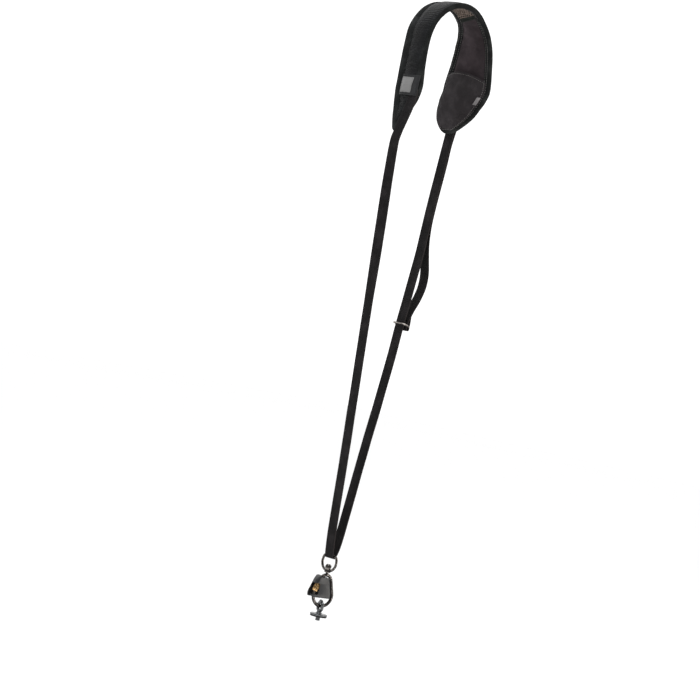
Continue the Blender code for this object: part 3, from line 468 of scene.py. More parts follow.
def border_shift(s, across, inset):
    """How far a place across the outer face moves in Y, where its borders aren't of plain width."""
    place = s / (BACK_LENGTH if s > 0 else FRONT_LENGTH)
    near = smooth_value(BORDER_ROWS, "near", place) * (1 - across) / 2
    far = smooth_value(BORDER_ROWS, "far", place) * (1 + across) / 2
    room = min(1.0, max(0.0, half_width(s) - inset) / OUTER_BORDER)
    return (near - far) * room


@lru_cache(maxsize=None)
def inset_end(length, inset):
    """How far an outline drawn in by the inset reaches along an arm, front negative."""
    wide, narrow = 0.5 * length, length - math.copysign(inset, length)
    if half_width(narrow) > inset or inset == 0:
        return narrow
    for _ in range(30):
        middle = (wide + narrow) / 2
        if half_width(middle) > inset:
            wide = middle
        else:
            narrow = middle
    return wide


def draw_in(s, inset):
    """Move a place of the rim towards the middle, most at the ends, to fit an inset outline."""
    length = BACK_LENGTH if s > 0 else -FRONT_LENGTH
    return s - (length - inset_end(length, inset)) * (s / length) ** 4


def pad_place(along, across, inset, start=-FRONT_LENGTH, end=BACK_LENGTH):
    """Place on the pad from shares: along 0 to 1 front to back, across -1 to 1."""
    crowded = along - COLUMN_CROWDING * math.sin(2 * math.pi * along)
    rim = start + (end - start) * crowded
    s = draw_in(rim, inset)
    at_tip = along in (0.0, 1.0) and rim in (-FRONT_LENGTH, BACK_LENGTH)
    half = 0.0 if at_tip else max(0.0, half_width(s) - inset)
    return s, drift(s) + across * half


def mouth_place(across):
    """The pocket's arched mouth, lowest at the near edge."""
    middle = BACK_LENGTH - POCKET_LENGTH
    return middle + POCKET_RISE * across * across - POCKET_SLOPE * across


def strand_points(rows, reach, side):
    """A strand's points down from the pad, from its table and its X and Y where it leaves the pad."""
    return [Vector((reach * row.reach, side * row.side, -DROP * row.drop)) for row in rows]


def back_points():
    """The back strand's few points from the ring up to the end of the pad."""
    leave = pad_point(BACK_LENGTH, BACK_SIDE, WEB_LEVEL)
    points = strand_points(BACK_ROWS, leave.x, BACK_SIDE)
    climb = [pad_point(BACK_LENGTH - share * KEEPER_PLACE, BACK_SIDE, WEB_LEVEL)
             for share in (0.05, 0.35, 0.7, 1.0)]
    wrap = arc_points(Vector((0, 0, -DROP)), RING_WRAP, -math.pi / 2, math.radians(-WEB_LEAVE), 8)
    return wrap, points[::-1] + climb


@lru_cache(maxsize=None)
def back_line():
    return smooth_path(back_points()[1], LOOKUP_STEP)


def back_x(height):
    """Where the back strand's middle is at a height."""
    for low, high in zip(back_line(), back_line()[1:]):
        if low.z <= height <= high.z:
            return low.lerp(high, (height - low.z) / (high.z - low.z))
    raise ValueError("The back strand doesn't reach this height")


def slider_centre():
    """The slider's middle bar, just outside the back strand."""
    point = back_x(-SLIDER_PLACE)
    return Vector((point.x + SLIDER_PITCH / 2, point.y, point.z))


def keeper_fold(start, end):
    """The webbing's turn over the keeper, between two shares of a half turn."""
    centre = pad_point(BACK_LENGTH - KEEPER_PLACE, BACK_SIDE, KEEPER_LEVEL)
    outwards = spine(BACK_LENGTH - KEEPER_PLACE)[1]
    facing = math.atan2(outwards.z, outwards.x)
    return arc_points(centre, KEEPER_WRAP, facing + math.pi * (1 - start), facing + math.pi * (1 - end), 8)


def front_path(step):
    """From under the patch down to the ring and half round it."""
    start = -PATCH_PLACE - PATCH_LENGTH / 2
    run = FRONT_LENGTH + start
    on_pad = [pad_point(start - run * row.up, FRONT_LEAVE_SIDE * row.side, WEB_LEVEL) for row in SEWN_ROWS]
    free = strand_points(FRONT_ROWS, on_pad[0].x, FRONT_LEAVE_SIDE)
    wrap = arc_points(Vector((0, 0, -DROP)), RING_WRAP, math.radians(180 + WEB_LEAVE), math.radians(270), 8)
    return smooth_path(on_pad + free + [wrap[0]], step) + wrap[1:]


def back_path(step):
    """From under the ring up to the keeper and half round it."""
    wrap, rest = back_points()
    return wrap + smooth_path([wrap[-1]] + rest, step)[1:] + keeper_fold(0, 0.5)[1:]


def return_path(step):
    """Down from the keeper, out in a bulge, and round the slider's outer bar."""
    fold = keeper_fold(0.5, 1)
    outer_bar = slider_centre() + SLIDER_PITCH * Vector((math.cos(SLIDER_TILT), 0, -math.sin(SLIDER_TILT)))
    wrap = SLIDER_WIRE / 2 + GAP + WEB_THICKNESS / 2
    first = -pad_point(BACK_LENGTH, 0, 0).z + RETURN_START
    bottom = -outer_bar.z - RETURN_END
    points = [fold[-1]]
    for share in (0.0, 0.25, 0.50, 0.75, 0.90, 0.97):
        points.append(back_x(-first - (RETURN_LEAVE - first) * share) + Vector((WEB_BESIDE, 0, 0)))
    for row in BULGE_ROWS:
        out = WEB_BESIDE + RETURN_BULGE * row.out
        points.append(back_x(-RETURN_LEAVE - (bottom - RETURN_LEAVE) * row.place) + Vector((out, 0, 0)))
    points += [outer_bar + Vector((-0.2 * wrap, 0, RETURN_APPROACH)),
               outer_bar + Vector((-wrap, 0, RETURN_ENTRY))]
    under = arc_points(outer_bar - Vector((0, 0, RETURN_SAG)), wrap, -math.pi, 0, 10)
    tail = [outer_bar + Vector((wrap * aside, 0, RETURN_TAIL * rise)) for aside, rise in
            ((1.0, 0.0), (0.95, 0.4), (0.85, 0.7), (0.80, 1.0))]
    return fold + smooth_path(points, step)[1:] + under + smooth_path([under[-1]] + tail, step)[1:]


def new_object(name, data):
    item = bpy.data.objects.new(name, data)
    bpy.context.scene.collection.objects.link(item)
    return item


def mesh_object(name, work, smooth=True):
    """An object whose mesh is a finished BMesh."""
    mesh = bpy.data.meshes.new(name)
    work.to_mesh(mesh)
    work.free()
    if smooth:
        mesh.shade_smooth()
    return new_object(name, mesh)


def opened(mesh):
    work = bmesh.new()
    work.from_mesh(mesh)
    return work


def seal(work):
    """Merge points that fall together and turn the faces outwards."""
    bmesh.ops.remove_doubles(work, verts=work.verts, dist=MERGE)
    bmesh.ops.recalc_face_normals(work, faces=work.faces)


def evaluated_mesh(item):
    bpy.context.view_layer.update()
    return bpy.data.meshes.new_from_object(item.evaluated_get(bpy.context.evaluated_depsgraph_get()))


def bake(item):
    """Keep what the modifiers make as the item's own mesh."""
    mesh = evaluated_mesh(item)
    item.modifiers.clear()
    item.data = mesh
    return item


def finish(item, body, slot, *nodes):
    """Tie a finished piece to its body and hide the solids that it stands for; its slot is not used."""
    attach(item, body)
    if nodes:
        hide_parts(*nodes)
    return item


def paint(item, material):
    item.data.materials.clear()
    item.data.materials.append(material)
    return item


def shades(colour, *shares):
    """The colour times each share."""
    return [[part * share for part in colour] for share in shares]


def grid_piece(name, columns, rows, place, measure, outwards=None):
    """A grid whose point at shares u and v goes to place(u, v) and has the UV measure(u, v), in metres."""
    work = bmesh.new()
    bmesh.ops.create_grid(work, x_segments=columns, y_segments=rows, size=0.5)
    layer = work.loops.layers.uv.new("cloth")
    work.verts.index_update()
    shares = [(round(vert.co.x + 0.5, 6), round(vert.co.y + 0.5, 6)) for vert in work.verts]
    marks = [measure(*share) for share in shares]
    for face in work.faces:
        for loop in face.loops:
            loop[layer].uv = marks[loop.vert.index]
    for vert, share in zip(work.verts, shares):
        vert.co = place(*share)
    bmesh.ops.remove_doubles(work, verts=work.verts, dist=0.000002)
    bmesh.ops.recalc_face_normals(work, faces=work.faces)
    if outwards:
        middle = min(work.faces, key=lambda face: (face.calc_center_median() - outwards[0]).length)
        if middle.normal.dot(outwards[1]) < 0:
            bmesh.ops.reverse_faces(work, faces=work.faces)
    return mesh_object(name, work)


def close_holes(item):
    work = opened(item.data)
    bmesh.ops.holes_fill(work, edges=[edge for edge in work.edges if edge.is_boundary])
    bmesh.ops.recalc_face_normals(work, faces=work.faces)
    work.to_mesh(item.data)
    work.free()
    return item


def subdivide(item, levels):
    soft = item.modifiers.new("soft", "SUBSURF")
    soft.levels = soft.render_levels = levels
    return bake(item)


def add_wall(item, thickness):
    wall = item.modifiers.new("wall", "SOLIDIFY")
    wall.thickness = thickness
    wall.offset = 0
    return item


def thicken(item, thickness):
    """Give a sheet its wall, with rounded cut edges."""
    return subdivide(add_wall(item, thickness), 1)


def point_array(mesh, name="co"):
    values = np.empty(len(mesh.vertices) * 3, np.float32)
    mesh.vertices.foreach_get(name, values)
    return values.reshape(-1, 3).astype(float)


def vertex_uv(mesh):
    """Each point's UV, from one of its corners."""
    uv = np.empty(len(mesh.loops) * 2, np.float32)
    mesh.uv_layers[0].data.foreach_get("uv", uv)
    corners = np.empty(len(mesh.loops), np.int32)
    mesh.loops.foreach_get("vertex_index", corners)
    values = np.zeros((len(mesh.vertices), 2))
    values[corners] = uv.reshape(-1, 2)
    return values


def emboss(item, height):
    """Lift each point along its normal by height(s, y), from the UV map in metres."""
    mesh = item.data
    uv = vertex_uv(mesh)
    lifted = point_array(mesh) + point_array(mesh, "normal") * height(uv[:, 0], uv[:, 1])[:, None]
    mesh.vertices.foreach_set("co", lifted.astype(np.float32).ravel())
    mesh.update()
    return item


def settle_cloth(item, sewn, pressure, growth, cap):
    """Let a sheet puff and crumple between its sewn points, moving no point further than the cap."""
    scene = bpy.context.scene
    start = point_array(item.data)
    item.data.vertices.foreach_set("co", (start * SETTLE_SCALE).astype(np.float32).ravel())
    item.vertex_groups.new(name="sewn").add(sewn, 1.0, "REPLACE")
    cloth = item.modifiers.new("settle", "CLOTH")
    sheet = cloth.settings
    sheet.vertex_group_mass = "sewn"
    sheet.mass = 0.3
    sheet.quality = 6
    sheet.tension_stiffness = sheet.compression_stiffness = 30
    sheet.shear_stiffness = 12
    sheet.bending_stiffness = 0.6
    sheet.air_damping = 4
    sheet.use_pressure = True
    sheet.uniform_pressure_force = pressure
    sheet.shrink_min = sheet.shrink_max = -growth
    sheet.effector_weights.gravity = 0
    cloth.collision_settings.use_collision = False
    cloth.point_cache.frame_start = 1
    cloth.point_cache.frame_end = SETTLE_FRAMES
    for number in range(1, SETTLE_FRAMES + 1):
        scene.frame_set(number)
    moved = point_array(evaluated_mesh(item)) / SETTLE_SCALE - start
    item.modifiers.clear()
    item.vertex_groups.clear()
    far = np.linalg.norm(moved, axis=1, keepdims=True)
    moved *= np.minimum(1, cap / np.maximum(far, 1e-9))
    item.data.vertices.foreach_set("co", (start + moved).astype(np.float32).ravel())
    item.data.update()
    scene.frame_set(1)
    return item


def wire(name, points, thickness, cyclic=False):
    """A closed tube along points."""
    curve = bpy.data.curves.new(name, "CURVE")
    curve.dimensions = "3D"
    curve.bevel_depth = thickness / 2
    curve.bevel_resolution = 6
    curve.use_fill_caps = True
    spline = curve.splines.new("POLY")
    spline.points.add(len(points) - 1)
    for slot, point in zip(spline.points, points):
        slot.co = (*point, 1)
    spline.use_cyclic_u = cyclic
    tube = new_object(name, curve)
    work = opened(evaluated_mesh(tube))
    bpy.data.objects.remove(tube, do_unlink=True)
    bpy.data.curves.remove(curve)
    seal(work)
    return mesh_object(name, work)


def turned(name, profile, steps=64, closed=False):
    """A profile of (radius, height) rows turned about Z."""
    work = bmesh.new()
    verts = [work.verts.new((radius, 0, height)) for radius, height in profile]
    edges = [work.edges.new(pair) for pair in zip(verts, verts[1:] + (verts[:1] if closed else []))]
    bmesh.ops.spin(work, geom=verts + edges, axis=(0, 0, 1), cent=(0, 0, 0), steps=steps,
                   angle=2 * math.pi, use_merge=False)
    seal(work)
    return mesh_object(name, work)


def block(name, low, high):
    work = bmesh.new()
    low, high = Vector(low), Vector(high)
    place = Matrix.Translation((low + high) / 2) @ Matrix.Diagonal((*(high - low), 1))
    bmesh.ops.create_cube(work, size=1, matrix=place)
    return mesh_object(name, work, smooth=False)


def join(name, items):
    """One object out of several meshes."""
    work = bmesh.new()
    for item in items:
        work.from_mesh(item.data)
        bpy.data.objects.remove(item, do_unlink=True)
    return mesh_object(name, work)


def cast(name, items, detail, rounds=3):
    """One smooth casting out of closed shapes that run into each other."""
    item = join(name, items)
    remesh = item.modifiers.new("cast", "REMESH")
    remesh.mode = "VOXEL"
    remesh.voxel_size = detail
    remesh.use_smooth_shade = True
    soften = item.modifiers.new("soften", "SMOOTH")
    soften.factor = 0.5
    soften.iterations = rounds
    return bake(item)


def set_in_place(item, matrix):
    """Move a piece made round its own axis to its place, within its mesh."""
    item.data.transform(matrix)
    if matrix.determinant() < 0:
        item.data.flip_normals()
    return item


def mark_wear_and_highlight(item):
    """Store how far each point stands out of its neighbours; the metals turn lighter there, partly as bare
    metal from rubbing, partly as a painted highlight on proud edges.
    """
    mesh = item.data
    points, normals = point_array(mesh), point_array(mesh, "normal")
    edges = np.empty(len(mesh.edges) * 2, np.int32)
    mesh.edges.foreach_get("vertices", edges)
    edges = edges.reshape(-1, 2)
    count = np.zeros(len(points))
    np.add.at(count, edges.ravel(), 1)

    def average(values):
        total = np.zeros_like(values)
        np.add.at(total, edges[:, 0], values[edges[:, 1]])
        np.add.at(total, edges[:, 1], values[edges[:, 0]])
        return total / np.maximum(count, 1)[:, None]

    ring = points
    for _ in range(WEAR_AND_HIGHLIGHT_SPREAD):
        ring = average(ring)
    proud = ((points - ring) * normals).sum(axis=1) / WEAR_AND_HIGHLIGHT_REACH
    attribute = mesh.attributes.new("wear", "FLOAT", "POINT")
    attribute.data.foreach_set("value", np.clip(proud, 0, 1).astype(np.float32))
    return item


def finish_metal(item, material, body, slot, node):
    return finish(paint(mark_wear_and_highlight(item), material), body, slot, node)


def add_node(tree, kind, *values, **settings):
    """A node with its settings, its inputs set or linked in order, None left alone."""
    node = tree.nodes.new(kind)
    for name, value in settings.items():
        setattr(node, name, value)
    for slot, value in zip(node.inputs, values):
        if isinstance(value, bpy.types.NodeSocket):
            tree.links.new(value, slot)
        elif value is not None:
            slot.default_value = value
    return node


def calc(tree, operation, *values):
    return add_node(tree, "ShaderNodeMath", *values, operation=operation).outputs[0]


def soft_step(tree, value, low, high, start=0.0, end=1.0):
    return add_node(tree, "ShaderNodeMapRange", value, low, high, start, end,
                    interpolation_type="SMOOTHSTEP").outputs[0]


def mix_colours(tree, share, first, second):
    node = tree.nodes.new("ShaderNodeMix")
    node.data_type = "RGBA"
    for name, value in (("Factor_Float", share), ("A_Color", first), ("B_Color", second)):
        slot = next(s for s in node.inputs if s.identifier == name)
        if isinstance(value, bpy.types.NodeSocket):
            tree.links.new(value, slot)
        else:
            slot.default_value = value if name == "Factor_Float" else (*value[:3], 1.0)
    return next(s for s in node.outputs if s.identifier == "Result_Color")


def noise_value(tree, scale, detail, coordinates=None, roughness=0.55):
    if coordinates is None:
        coordinates = add_node(tree, "ShaderNodeTexCoord").outputs["Object"]
    node = add_node(tree, "ShaderNodeTexNoise")
    tree.links.new(coordinates, node.inputs["Vector"])
    for key, value in (("Scale", scale), ("Detail", detail), ("Roughness", roughness)):
        node.inputs[key].default_value = value
    return node.outputs["Fac"]


def base_material(name, roughness, metallic=0.0, specular=0.5, sheen=0.0):
    material = bpy.data.materials.new(name)
    material.use_nodes = True
    shader = material.node_tree.nodes["Principled BSDF"]
    for key, value in (("Roughness", roughness), ("Metallic", metallic), ("Specular IOR Level", specular),
                       ("Sheen Weight", sheen), ("Sheen Roughness", 0.45)):
        shader.inputs[key].default_value = value
    return material, material.node_tree, shader


def set_bump(tree, shader, height, distance, strength):
    bump = add_node(tree, "ShaderNodeBump", strength, distance)
    tree.links.new(height, bump.inputs["Height"])
    tree.links.new(bump.outputs[0], shader.inputs["Normal"])


Clouds = namedtuple("Clouds", "scale detail low high")
Grain = namedtuple("Grain", "scale detail depth strength")


def clouded(name, colours, clouds, grain, roughness, specular):
    """A surface whose two colours mix in soft clouds, with a fine grain in relief."""
    material, tree, shader = base_material(name, roughness, specular=specular)
    share = soft_step(tree, noise_value(tree, clouds.scale, clouds.detail), clouds.low, clouds.high)
    tree.links.new(mix_colours(tree, share, *colours), shader.inputs["Base Color"])
    set_bump(tree, shader, noise_value(tree, grain.scale, grain.detail), grain.depth, grain.strength)
    return material


def cloth_axes(tree):
    """The cloth's own two directions, in metres, from its UV map."""
    uv = add_node(tree, "ShaderNodeUVMap", uv_map="cloth").outputs[0]
    parts = add_node(tree, "ShaderNodeSeparateXYZ", uv)
    return parts.outputs[0], parts.outputs[1]


def wave(tree, value, pitch):
    """From -1 to 1 and back once a pitch."""
    return calc(tree, "SINE", calc(tree, "MULTIPLY", value, 2 * math.pi / pitch))


def woven_cloth(name, colour, lighter, pitch, pattern="plain", depth=0.00012, column=0.0025,
                roughness=0.85, sheen=0.01, specular=0.05, worn_and_highlight=None, worn_and_highlight_from=0.0):
    """Cloth with its threads in relief, its colour uneven from handling, its edges lighter if asked: partly
    from rubbing, partly a painted highlight where they round off.
    """
    material, tree, shader = base_material(name, roughness, specular=specular, sheen=sheen)
    u, v = cloth_axes(tree)
    if pattern == "plain":
        threads = calc(tree, "MULTIPLY", wave(tree, u, pitch), wave(tree, v, pitch))
    elif pattern == "twill":
        threads = wave(tree, calc(tree, "ADD", u, calc(tree, "MULTIPLY", v, 0.8)), pitch)
    else:
        zigzag = calc(tree, "PINGPONG", v, column)
        threads = wave(tree, calc(tree, "ADD", u, calc(tree, "MULTIPLY", zigzag, 0.7)), pitch)
    fuzz = noise_value(tree, 2600, 2)
    height = calc(tree, "ADD", calc(tree, "MULTIPLY", threads, 0.7), fuzz)
    patches = noise_value(tree, 55, 4)
    uneven = calc(tree, "ADD", patches, calc(tree, "MULTIPLY", threads, 0.06))
    share = soft_step(tree, uneven, low=0.42, high=0.72)
    result = mix_colours(tree, share, colour, lighter)
    # Lighter edges: partly from rubbing, partly a painted highlight where the webbing rounds off
    if worn_and_highlight:
        off = calc(tree, "ABSOLUTE", v)
        rubbed_and_lit = soft_step(tree, calc(tree, "ADD", off, calc(tree, "MULTIPLY", fuzz, 0.0012)),
                           low=worn_and_highlight_from, high=worn_and_highlight_from + 0.0022, end=0.85)
        result = mix_colours(tree, rubbed_and_lit, result, worn_and_highlight)
    tree.links.new(result, shader.inputs["Base Color"])
    set_bump(tree, shader, height, depth, 0.8)
    return material


BRUSHED = {"pitch": 0.0006, "pattern": "twill", "depth": 0.00009, "sheen": 0.04, "roughness": 0.95}


def metal(name, colour, worn_and_highlight, roughness):
    """Plated or bare metal, lighter where a point stands proud of its neighbours: partly bare metal from
    rubbing, partly a painted highlight on proud edges.
    """
    material, tree, shader = base_material(name, roughness, metallic=1.0)
    rubbed_and_lit = add_node(tree, "ShaderNodeAttribute", attribute_name="wear").outputs["Fac"]
    spots = noise_value(tree, 900, 5, roughness=0.7)
    bared_and_lit = calc(tree, "ADD", calc(tree, "MULTIPLY", rubbed_and_lit, 0.8), spots)
    share = soft_step(tree, bared_and_lit, low=0.64, high=0.86)
    tree.links.new(mix_colours(tree, share, colour, worn_and_highlight), shader.inputs["Base Color"])
    dulled = soft_step(tree, noise_value(tree, 240, 4), low=0.3, high=0.75,
                       start=roughness * 0.8, end=roughness * 1.5)
    tree.links.new(dulled, shader.inputs["Roughness"])
    upright = add_node(tree, "ShaderNodeMapping", add_node(tree, "ShaderNodeTexCoord").outputs["Object"])
    upright.inputs["Scale"].default_value = (1.0, 1.0, 0.12)
    set_bump(tree, shader, noise_value(tree, 5200, 3, upright.outputs[0]), 0.00003, 0.35)
    return material


def fill_tree(tree, inputs):
    """Name a geometry tree's inputs and return the nodes at its two ends."""
    tree.interface.new_socket("Geometry", in_out="INPUT", socket_type="NodeSocketGeometry")
    for name, kind in inputs:
        tree.interface.new_socket(name, in_out="INPUT", socket_type=kind)
    tree.interface.new_socket("Geometry", in_out="OUTPUT", socket_type="NodeSocketGeometry")
    return tree.nodes.new("NodeGroupInput"), tree.nodes.new("NodeGroupOutput")


def place_copies(tree, points, shape, along, material):
    """Copies of a shape on points, X along them and Z out of the cloth, as one painted mesh."""
    outward = add_node(tree, "GeometryNodeInputNamedAttribute", "outward", data_type="FLOAT_VECTOR")
    turn = add_node(tree, "FunctionNodeAlignRotationToVector", axis="X")
    tree.links.new(along, turn.inputs["Vector"])
    flat = add_node(tree, "FunctionNodeAlignRotationToVector", axis="Z", pivot_axis="X")
    tree.links.new(turn.outputs[0], flat.inputs["Rotation"])
    tree.links.new(outward.outputs["Attribute"], flat.inputs["Vector"])
    copies = add_node(tree, "GeometryNodeInstanceOnPoints")
    tree.links.new(points, copies.inputs["Points"])
    tree.links.new(shape, copies.inputs["Instance"])
    tree.links.new(flat.outputs[0], copies.inputs["Rotation"])
    real = add_node(tree, "GeometryNodeRealizeInstances", copies.outputs[0])
    smooth = add_node(tree, "GeometryNodeSetShadeSmooth", real.outputs[0])
    painted = add_node(tree, "GeometryNodeSetMaterial", smooth.outputs[0])
    tree.links.new(material, painted.inputs["Material"])
    return painted.outputs[0]


@lru_cache(maxsize=None)
def stitch_tree():
    """Stitches a pitch apart along each line of a guide."""
    tree = bpy.data.node_groups.new("stitch rows", "GeometryNodeTree")
    entry, leave = fill_tree(tree, [("Pitch", "NodeSocketFloat"), ("Stitch length", "NodeSocketFloat"),
                                    ("Thread", "NodeSocketFloat"), ("Material", "NodeSocketMaterial")])
    line = add_node(tree, "GeometryNodeMeshToCurve", entry.outputs["Geometry"])
    spaced = add_node(tree, "GeometryNodeResampleCurve", line.outputs[0], mode="LENGTH")
    tree.links.new(entry.outputs["Pitch"], spaced.inputs["Length"])
    bead = add_node(tree, "GeometryNodeMeshUVSphere", 8, 5, 0.5)
    thin = calc(tree, "MULTIPLY", entry.outputs["Thread"], 0.75)
    size = add_node(tree, "ShaderNodeCombineXYZ", entry.outputs["Stitch length"],
                    entry.outputs["Thread"], thin)
    thread = add_node(tree, "GeometryNodeTransform", bead.outputs[0])
    tree.links.new(size.outputs[0], thread.inputs["Scale"])
    along = add_node(tree, "GeometryNodeInputTangent").outputs[0]
    result = place_copies(tree, spaced.outputs[0], thread.outputs[0], along, entry.outputs["Material"])
    tree.links.new(result, leave.inputs[0])
    return tree


@lru_cache(maxsize=None)
def net_tree():
    """Loops of thread side by side, which leave round holes."""
    tree = bpy.data.node_groups.new("net", "GeometryNodeTree")
    entry, leave = fill_tree(tree, [("Pitch", "NodeSocketFloat"), ("Thread", "NodeSocketFloat"),
                                    ("Material", "NodeSocketMaterial")])
    radius = calc(tree, "MULTIPLY", entry.outputs["Pitch"], 0.5)
    loop = add_node(tree, "GeometryNodeCurvePrimitiveCircle", 12)
    tree.links.new(radius, loop.inputs["Radius"])
    section = add_node(tree, "GeometryNodeCurvePrimitiveCircle", 5)
    tree.links.new(entry.outputs["Thread"], section.inputs["Radius"])
    tube = add_node(tree, "GeometryNodeCurveToMesh", loop.outputs[0], section.outputs[0])
    flat = add_node(tree, "GeometryNodeTransform", tube.outputs[0])
    flat.inputs["Scale"].default_value = (1, 1, 0.55)
    along = add_node(tree, "GeometryNodeInputNamedAttribute", "along", data_type="FLOAT_VECTOR")
    result = place_copies(tree, entry.outputs["Geometry"], flat.outputs[0], along.outputs["Attribute"],
                          entry.outputs["Material"])
    tree.links.new(result, leave.inputs[0])
    return tree


def run_tree(item, tree, **values):
    """Run a geometry tree on a guide and keep its result as a plain mesh."""
    modifier = item.modifiers.new(tree.name, "NODES")
    modifier.node_group = tree
    for socket in tree.interface.items_tree:
        key = socket.name.lower().replace(" ", "_")
        if socket.in_out == "INPUT" and key in values:
            modifier[socket.identifier] = values[key]
    return bake(item)


def guide_piece(name, lines, along=None):
    """Lines, or loose points with their direction along, each a list of (point, outward) pairs."""
    work = bmesh.new()
    outward = work.verts.layers.float_vector.new("outward")
    direction = work.verts.layers.float_vector.new("along") if along else None
    for number, line in enumerate(lines):
        verts = []
        for point, out in line:
            vert = work.verts.new(point)
            vert[outward] = out
            if along:
                vert[direction] = along[number]
            verts.append(vert)
        if not along:
            closed = (line[0][0] - line[-1][0]).length < 0.004 and len(line) > 8
            for pair in zip(verts, verts[1:] + (verts[:1] if closed else [])):
                work.edges.new(pair)
    return mesh_object(name, work, smooth=False)


def stitches(name, slot, lines, material, pitch, thread=STITCH_THREAD):
    """Rows of stitches in the strap's cloth, each line a list of (point, outward) pairs."""
    rows = run_tree(guide_piece(name, lines), stitch_tree(), pitch=pitch,
                    stitch_length=pitch * STITCH_SHARE, thread=thread, material=material)
    return finish(rows, "strap", slot)


def pad_line(face, inset, rise, share=1.0):
    """A line along one side of a face of the pad, share -1 to 1 across it."""
    line = []
    count = 260
    for i in range(count + 1):
        s, y = pad_place(i / count, share, inset)
        if face > 0:
            y += border_shift(s, share, inset)
        line.append((pad_point(s, y, face * (HALF_PAD + rise)), spine(s)[1] * face))
    return line


def rim_loop(face, inset, rise):
    """The whole way round a face of the pad, parallel to its rim."""
    return pad_line(face, inset, rise) + pad_line(face, inset, rise, -1.0)[-2:0:-1]


BandRow = namedtuple("BandRow", "inset level share")


def band_rows():
    """Across the folded rim, from the outer face's recess round to the inner face's recess."""
    def face_rows(border):
        """Distances from the rim and heights: under the panel, over the sewn groove, round the rim."""
        return [(border + 0.0024, 0.0009), (border + 0.0004, 0.0010), (border, 0.0018),
                (border - 0.0003, HALF_PAD), (border - 0.0009, HALF_PAD + 0.0001),
                (border - GROOVE, HALF_PAD - 0.0004), (border - 1.6 * GROOVE, HALF_PAD + 0.0001),
                (0.5 * border, HALF_PAD + 0.0006), (0.0030, HALF_PAD + 0.0004),
                (0.0013, HALF_PAD - 0.0001), (0.0003, HALF_PAD - 0.0011)]
    outer = [Vector((inset, 0, level)) for inset, level in face_rows(OUTER_BORDER)]
    inner = [Vector((inset, 0, -level)) for inset, level in reversed(face_rows(INNER_BORDER))]
    path = smooth_path(outer + [Vector((0, 0, 0))] + inner, 0.00055)
    rows = [BandRow(point.x, point.z, 1.0) for point in path]
    first, last = rows[0], rows[-1]
    lids = (0.0, 0.33, 0.66)
    return ([BandRow(first.inset, first.level, share) for share in lids] + rows
            + [BandRow(last.inset, last.level, share) for share in reversed(lids)])


def crumple(s, y, level):
    """How sewn cloth over foam wanders out of its plain shape."""
    small = noise.noise(Vector((s * 150, y * 150, level * 260)))
    wide = noise.noise(Vector((s * 45, y * 45, level * 90 + 7)))
    folds = 0
    if level < 0:
        folds = math.exp(-(s / FOLDS_REACH) ** 2) * abs(noise.noise(Vector((s * 210, y * 22, 3))))
    return CRUMPLE_SMALL * small + CRUMPLE_WIDE * wide + CRUMPLE_FOLDS * folds


class STRAP_OT_pad_body(bpy.types.Operator):
    """Foam body with its cloth folded round the rim"""
    bl_idname = "strap.pad_body"
    bl_label = "Pad body"

    def execute(self, context):
        look = context.scene.strap_pad
        rows = band_rows()
        lengths = [0.0]
        for low, high in zip(rows, rows[1:]):
            lengths.append(lengths[-1] + math.hypot(high.inset - low.inset, high.level - low.level))

        def rim_place(u, v):
            row = rows[round(v * (len(rows) - 1))]
            turn = 2 * (u % 1.0)
            along, across = (turn, 1) if turn <= 1 else (2 - turn, -1)
            s, y = pad_place(along, across * row.share, row.inset)
            if row.level > 0:
                y += border_shift(s, across * row.share, row.inset) * min(1, row.inset / STITCH_INSET)
            return s, y, row, across

        def place(u, v):
            s, y, row, across = rim_place(u, v)
            border = OUTER_BORDER if row.level > 0 else INNER_BORDER
            out = math.copysign(1, row.level)
            off_rim = min(1, abs(row.level) / RIM_CALM)
            on_groove = math.exp(-((row.inset - border + GROOVE) / GROOVE_HALF) ** 2)
            pulled = math.cos(2 * math.pi * s / look.stitch_pitch)
            level = row.level + out * crumple(s, y, row.level) * off_rim
            level -= out * THREAD_PULL * on_groove * pulled
            sideways = RIM_SWAY * noise.noise(Vector((s * 30, 9 * across, 1))) * row.share
            return pad_point(s, y + sideways, level)

        def measure(u, v):
            return rim_place(u, v)[0], lengths[round(v * (len(rows) - 1))]

        body = grid_piece("pad_body", 760, len(rows) - 1, place, measure)
        paint(body, woven_cloth("edge cloth", *shades(look.edge_colour, 0.8, 2.0), look.weave_pitch,
                                depth=0.00010))
        finish(body, "strap", "edge_cloth", "pad_core", "edge_wrap")
        stitches("outer_rim_stitches", "edge_cloth", [rim_loop(1, OUTER_BORDER - GROOVE, -0.0001)],
                 plain_thread("dark thread", look.dark_thread_colour), look.stitch_pitch)
        inner_rows = [rim_loop(-1, INNER_BORDER - GROOVE, -0.0001),
                      rim_loop(-1, RIM_STITCHES * INNER_BORDER, 0.0007)]
        stitches("inner_rim_stitches", "edge_cloth", inner_rows,
                 plain_thread("thread", look.thread_colour), look.stitch_pitch)
        return {"FINISHED"}


def plain_thread(name, colour):
    """Twisted sewing thread."""
    material, tree, shader = base_material(name, 0.6, specular=0.2)
    shader.inputs["Base Color"].default_value = (*colour, 1.0)
    set_bump(tree, shader, noise_value(tree, 4000, 2), 0.00004, 0.6)
    return material


def rim_points(item):
    """Numbers of the points on a sheet's open edges."""
    work = opened(item.data)
    found = [vert.index for vert in work.verts if vert.is_boundary]
    work.free()
    return found


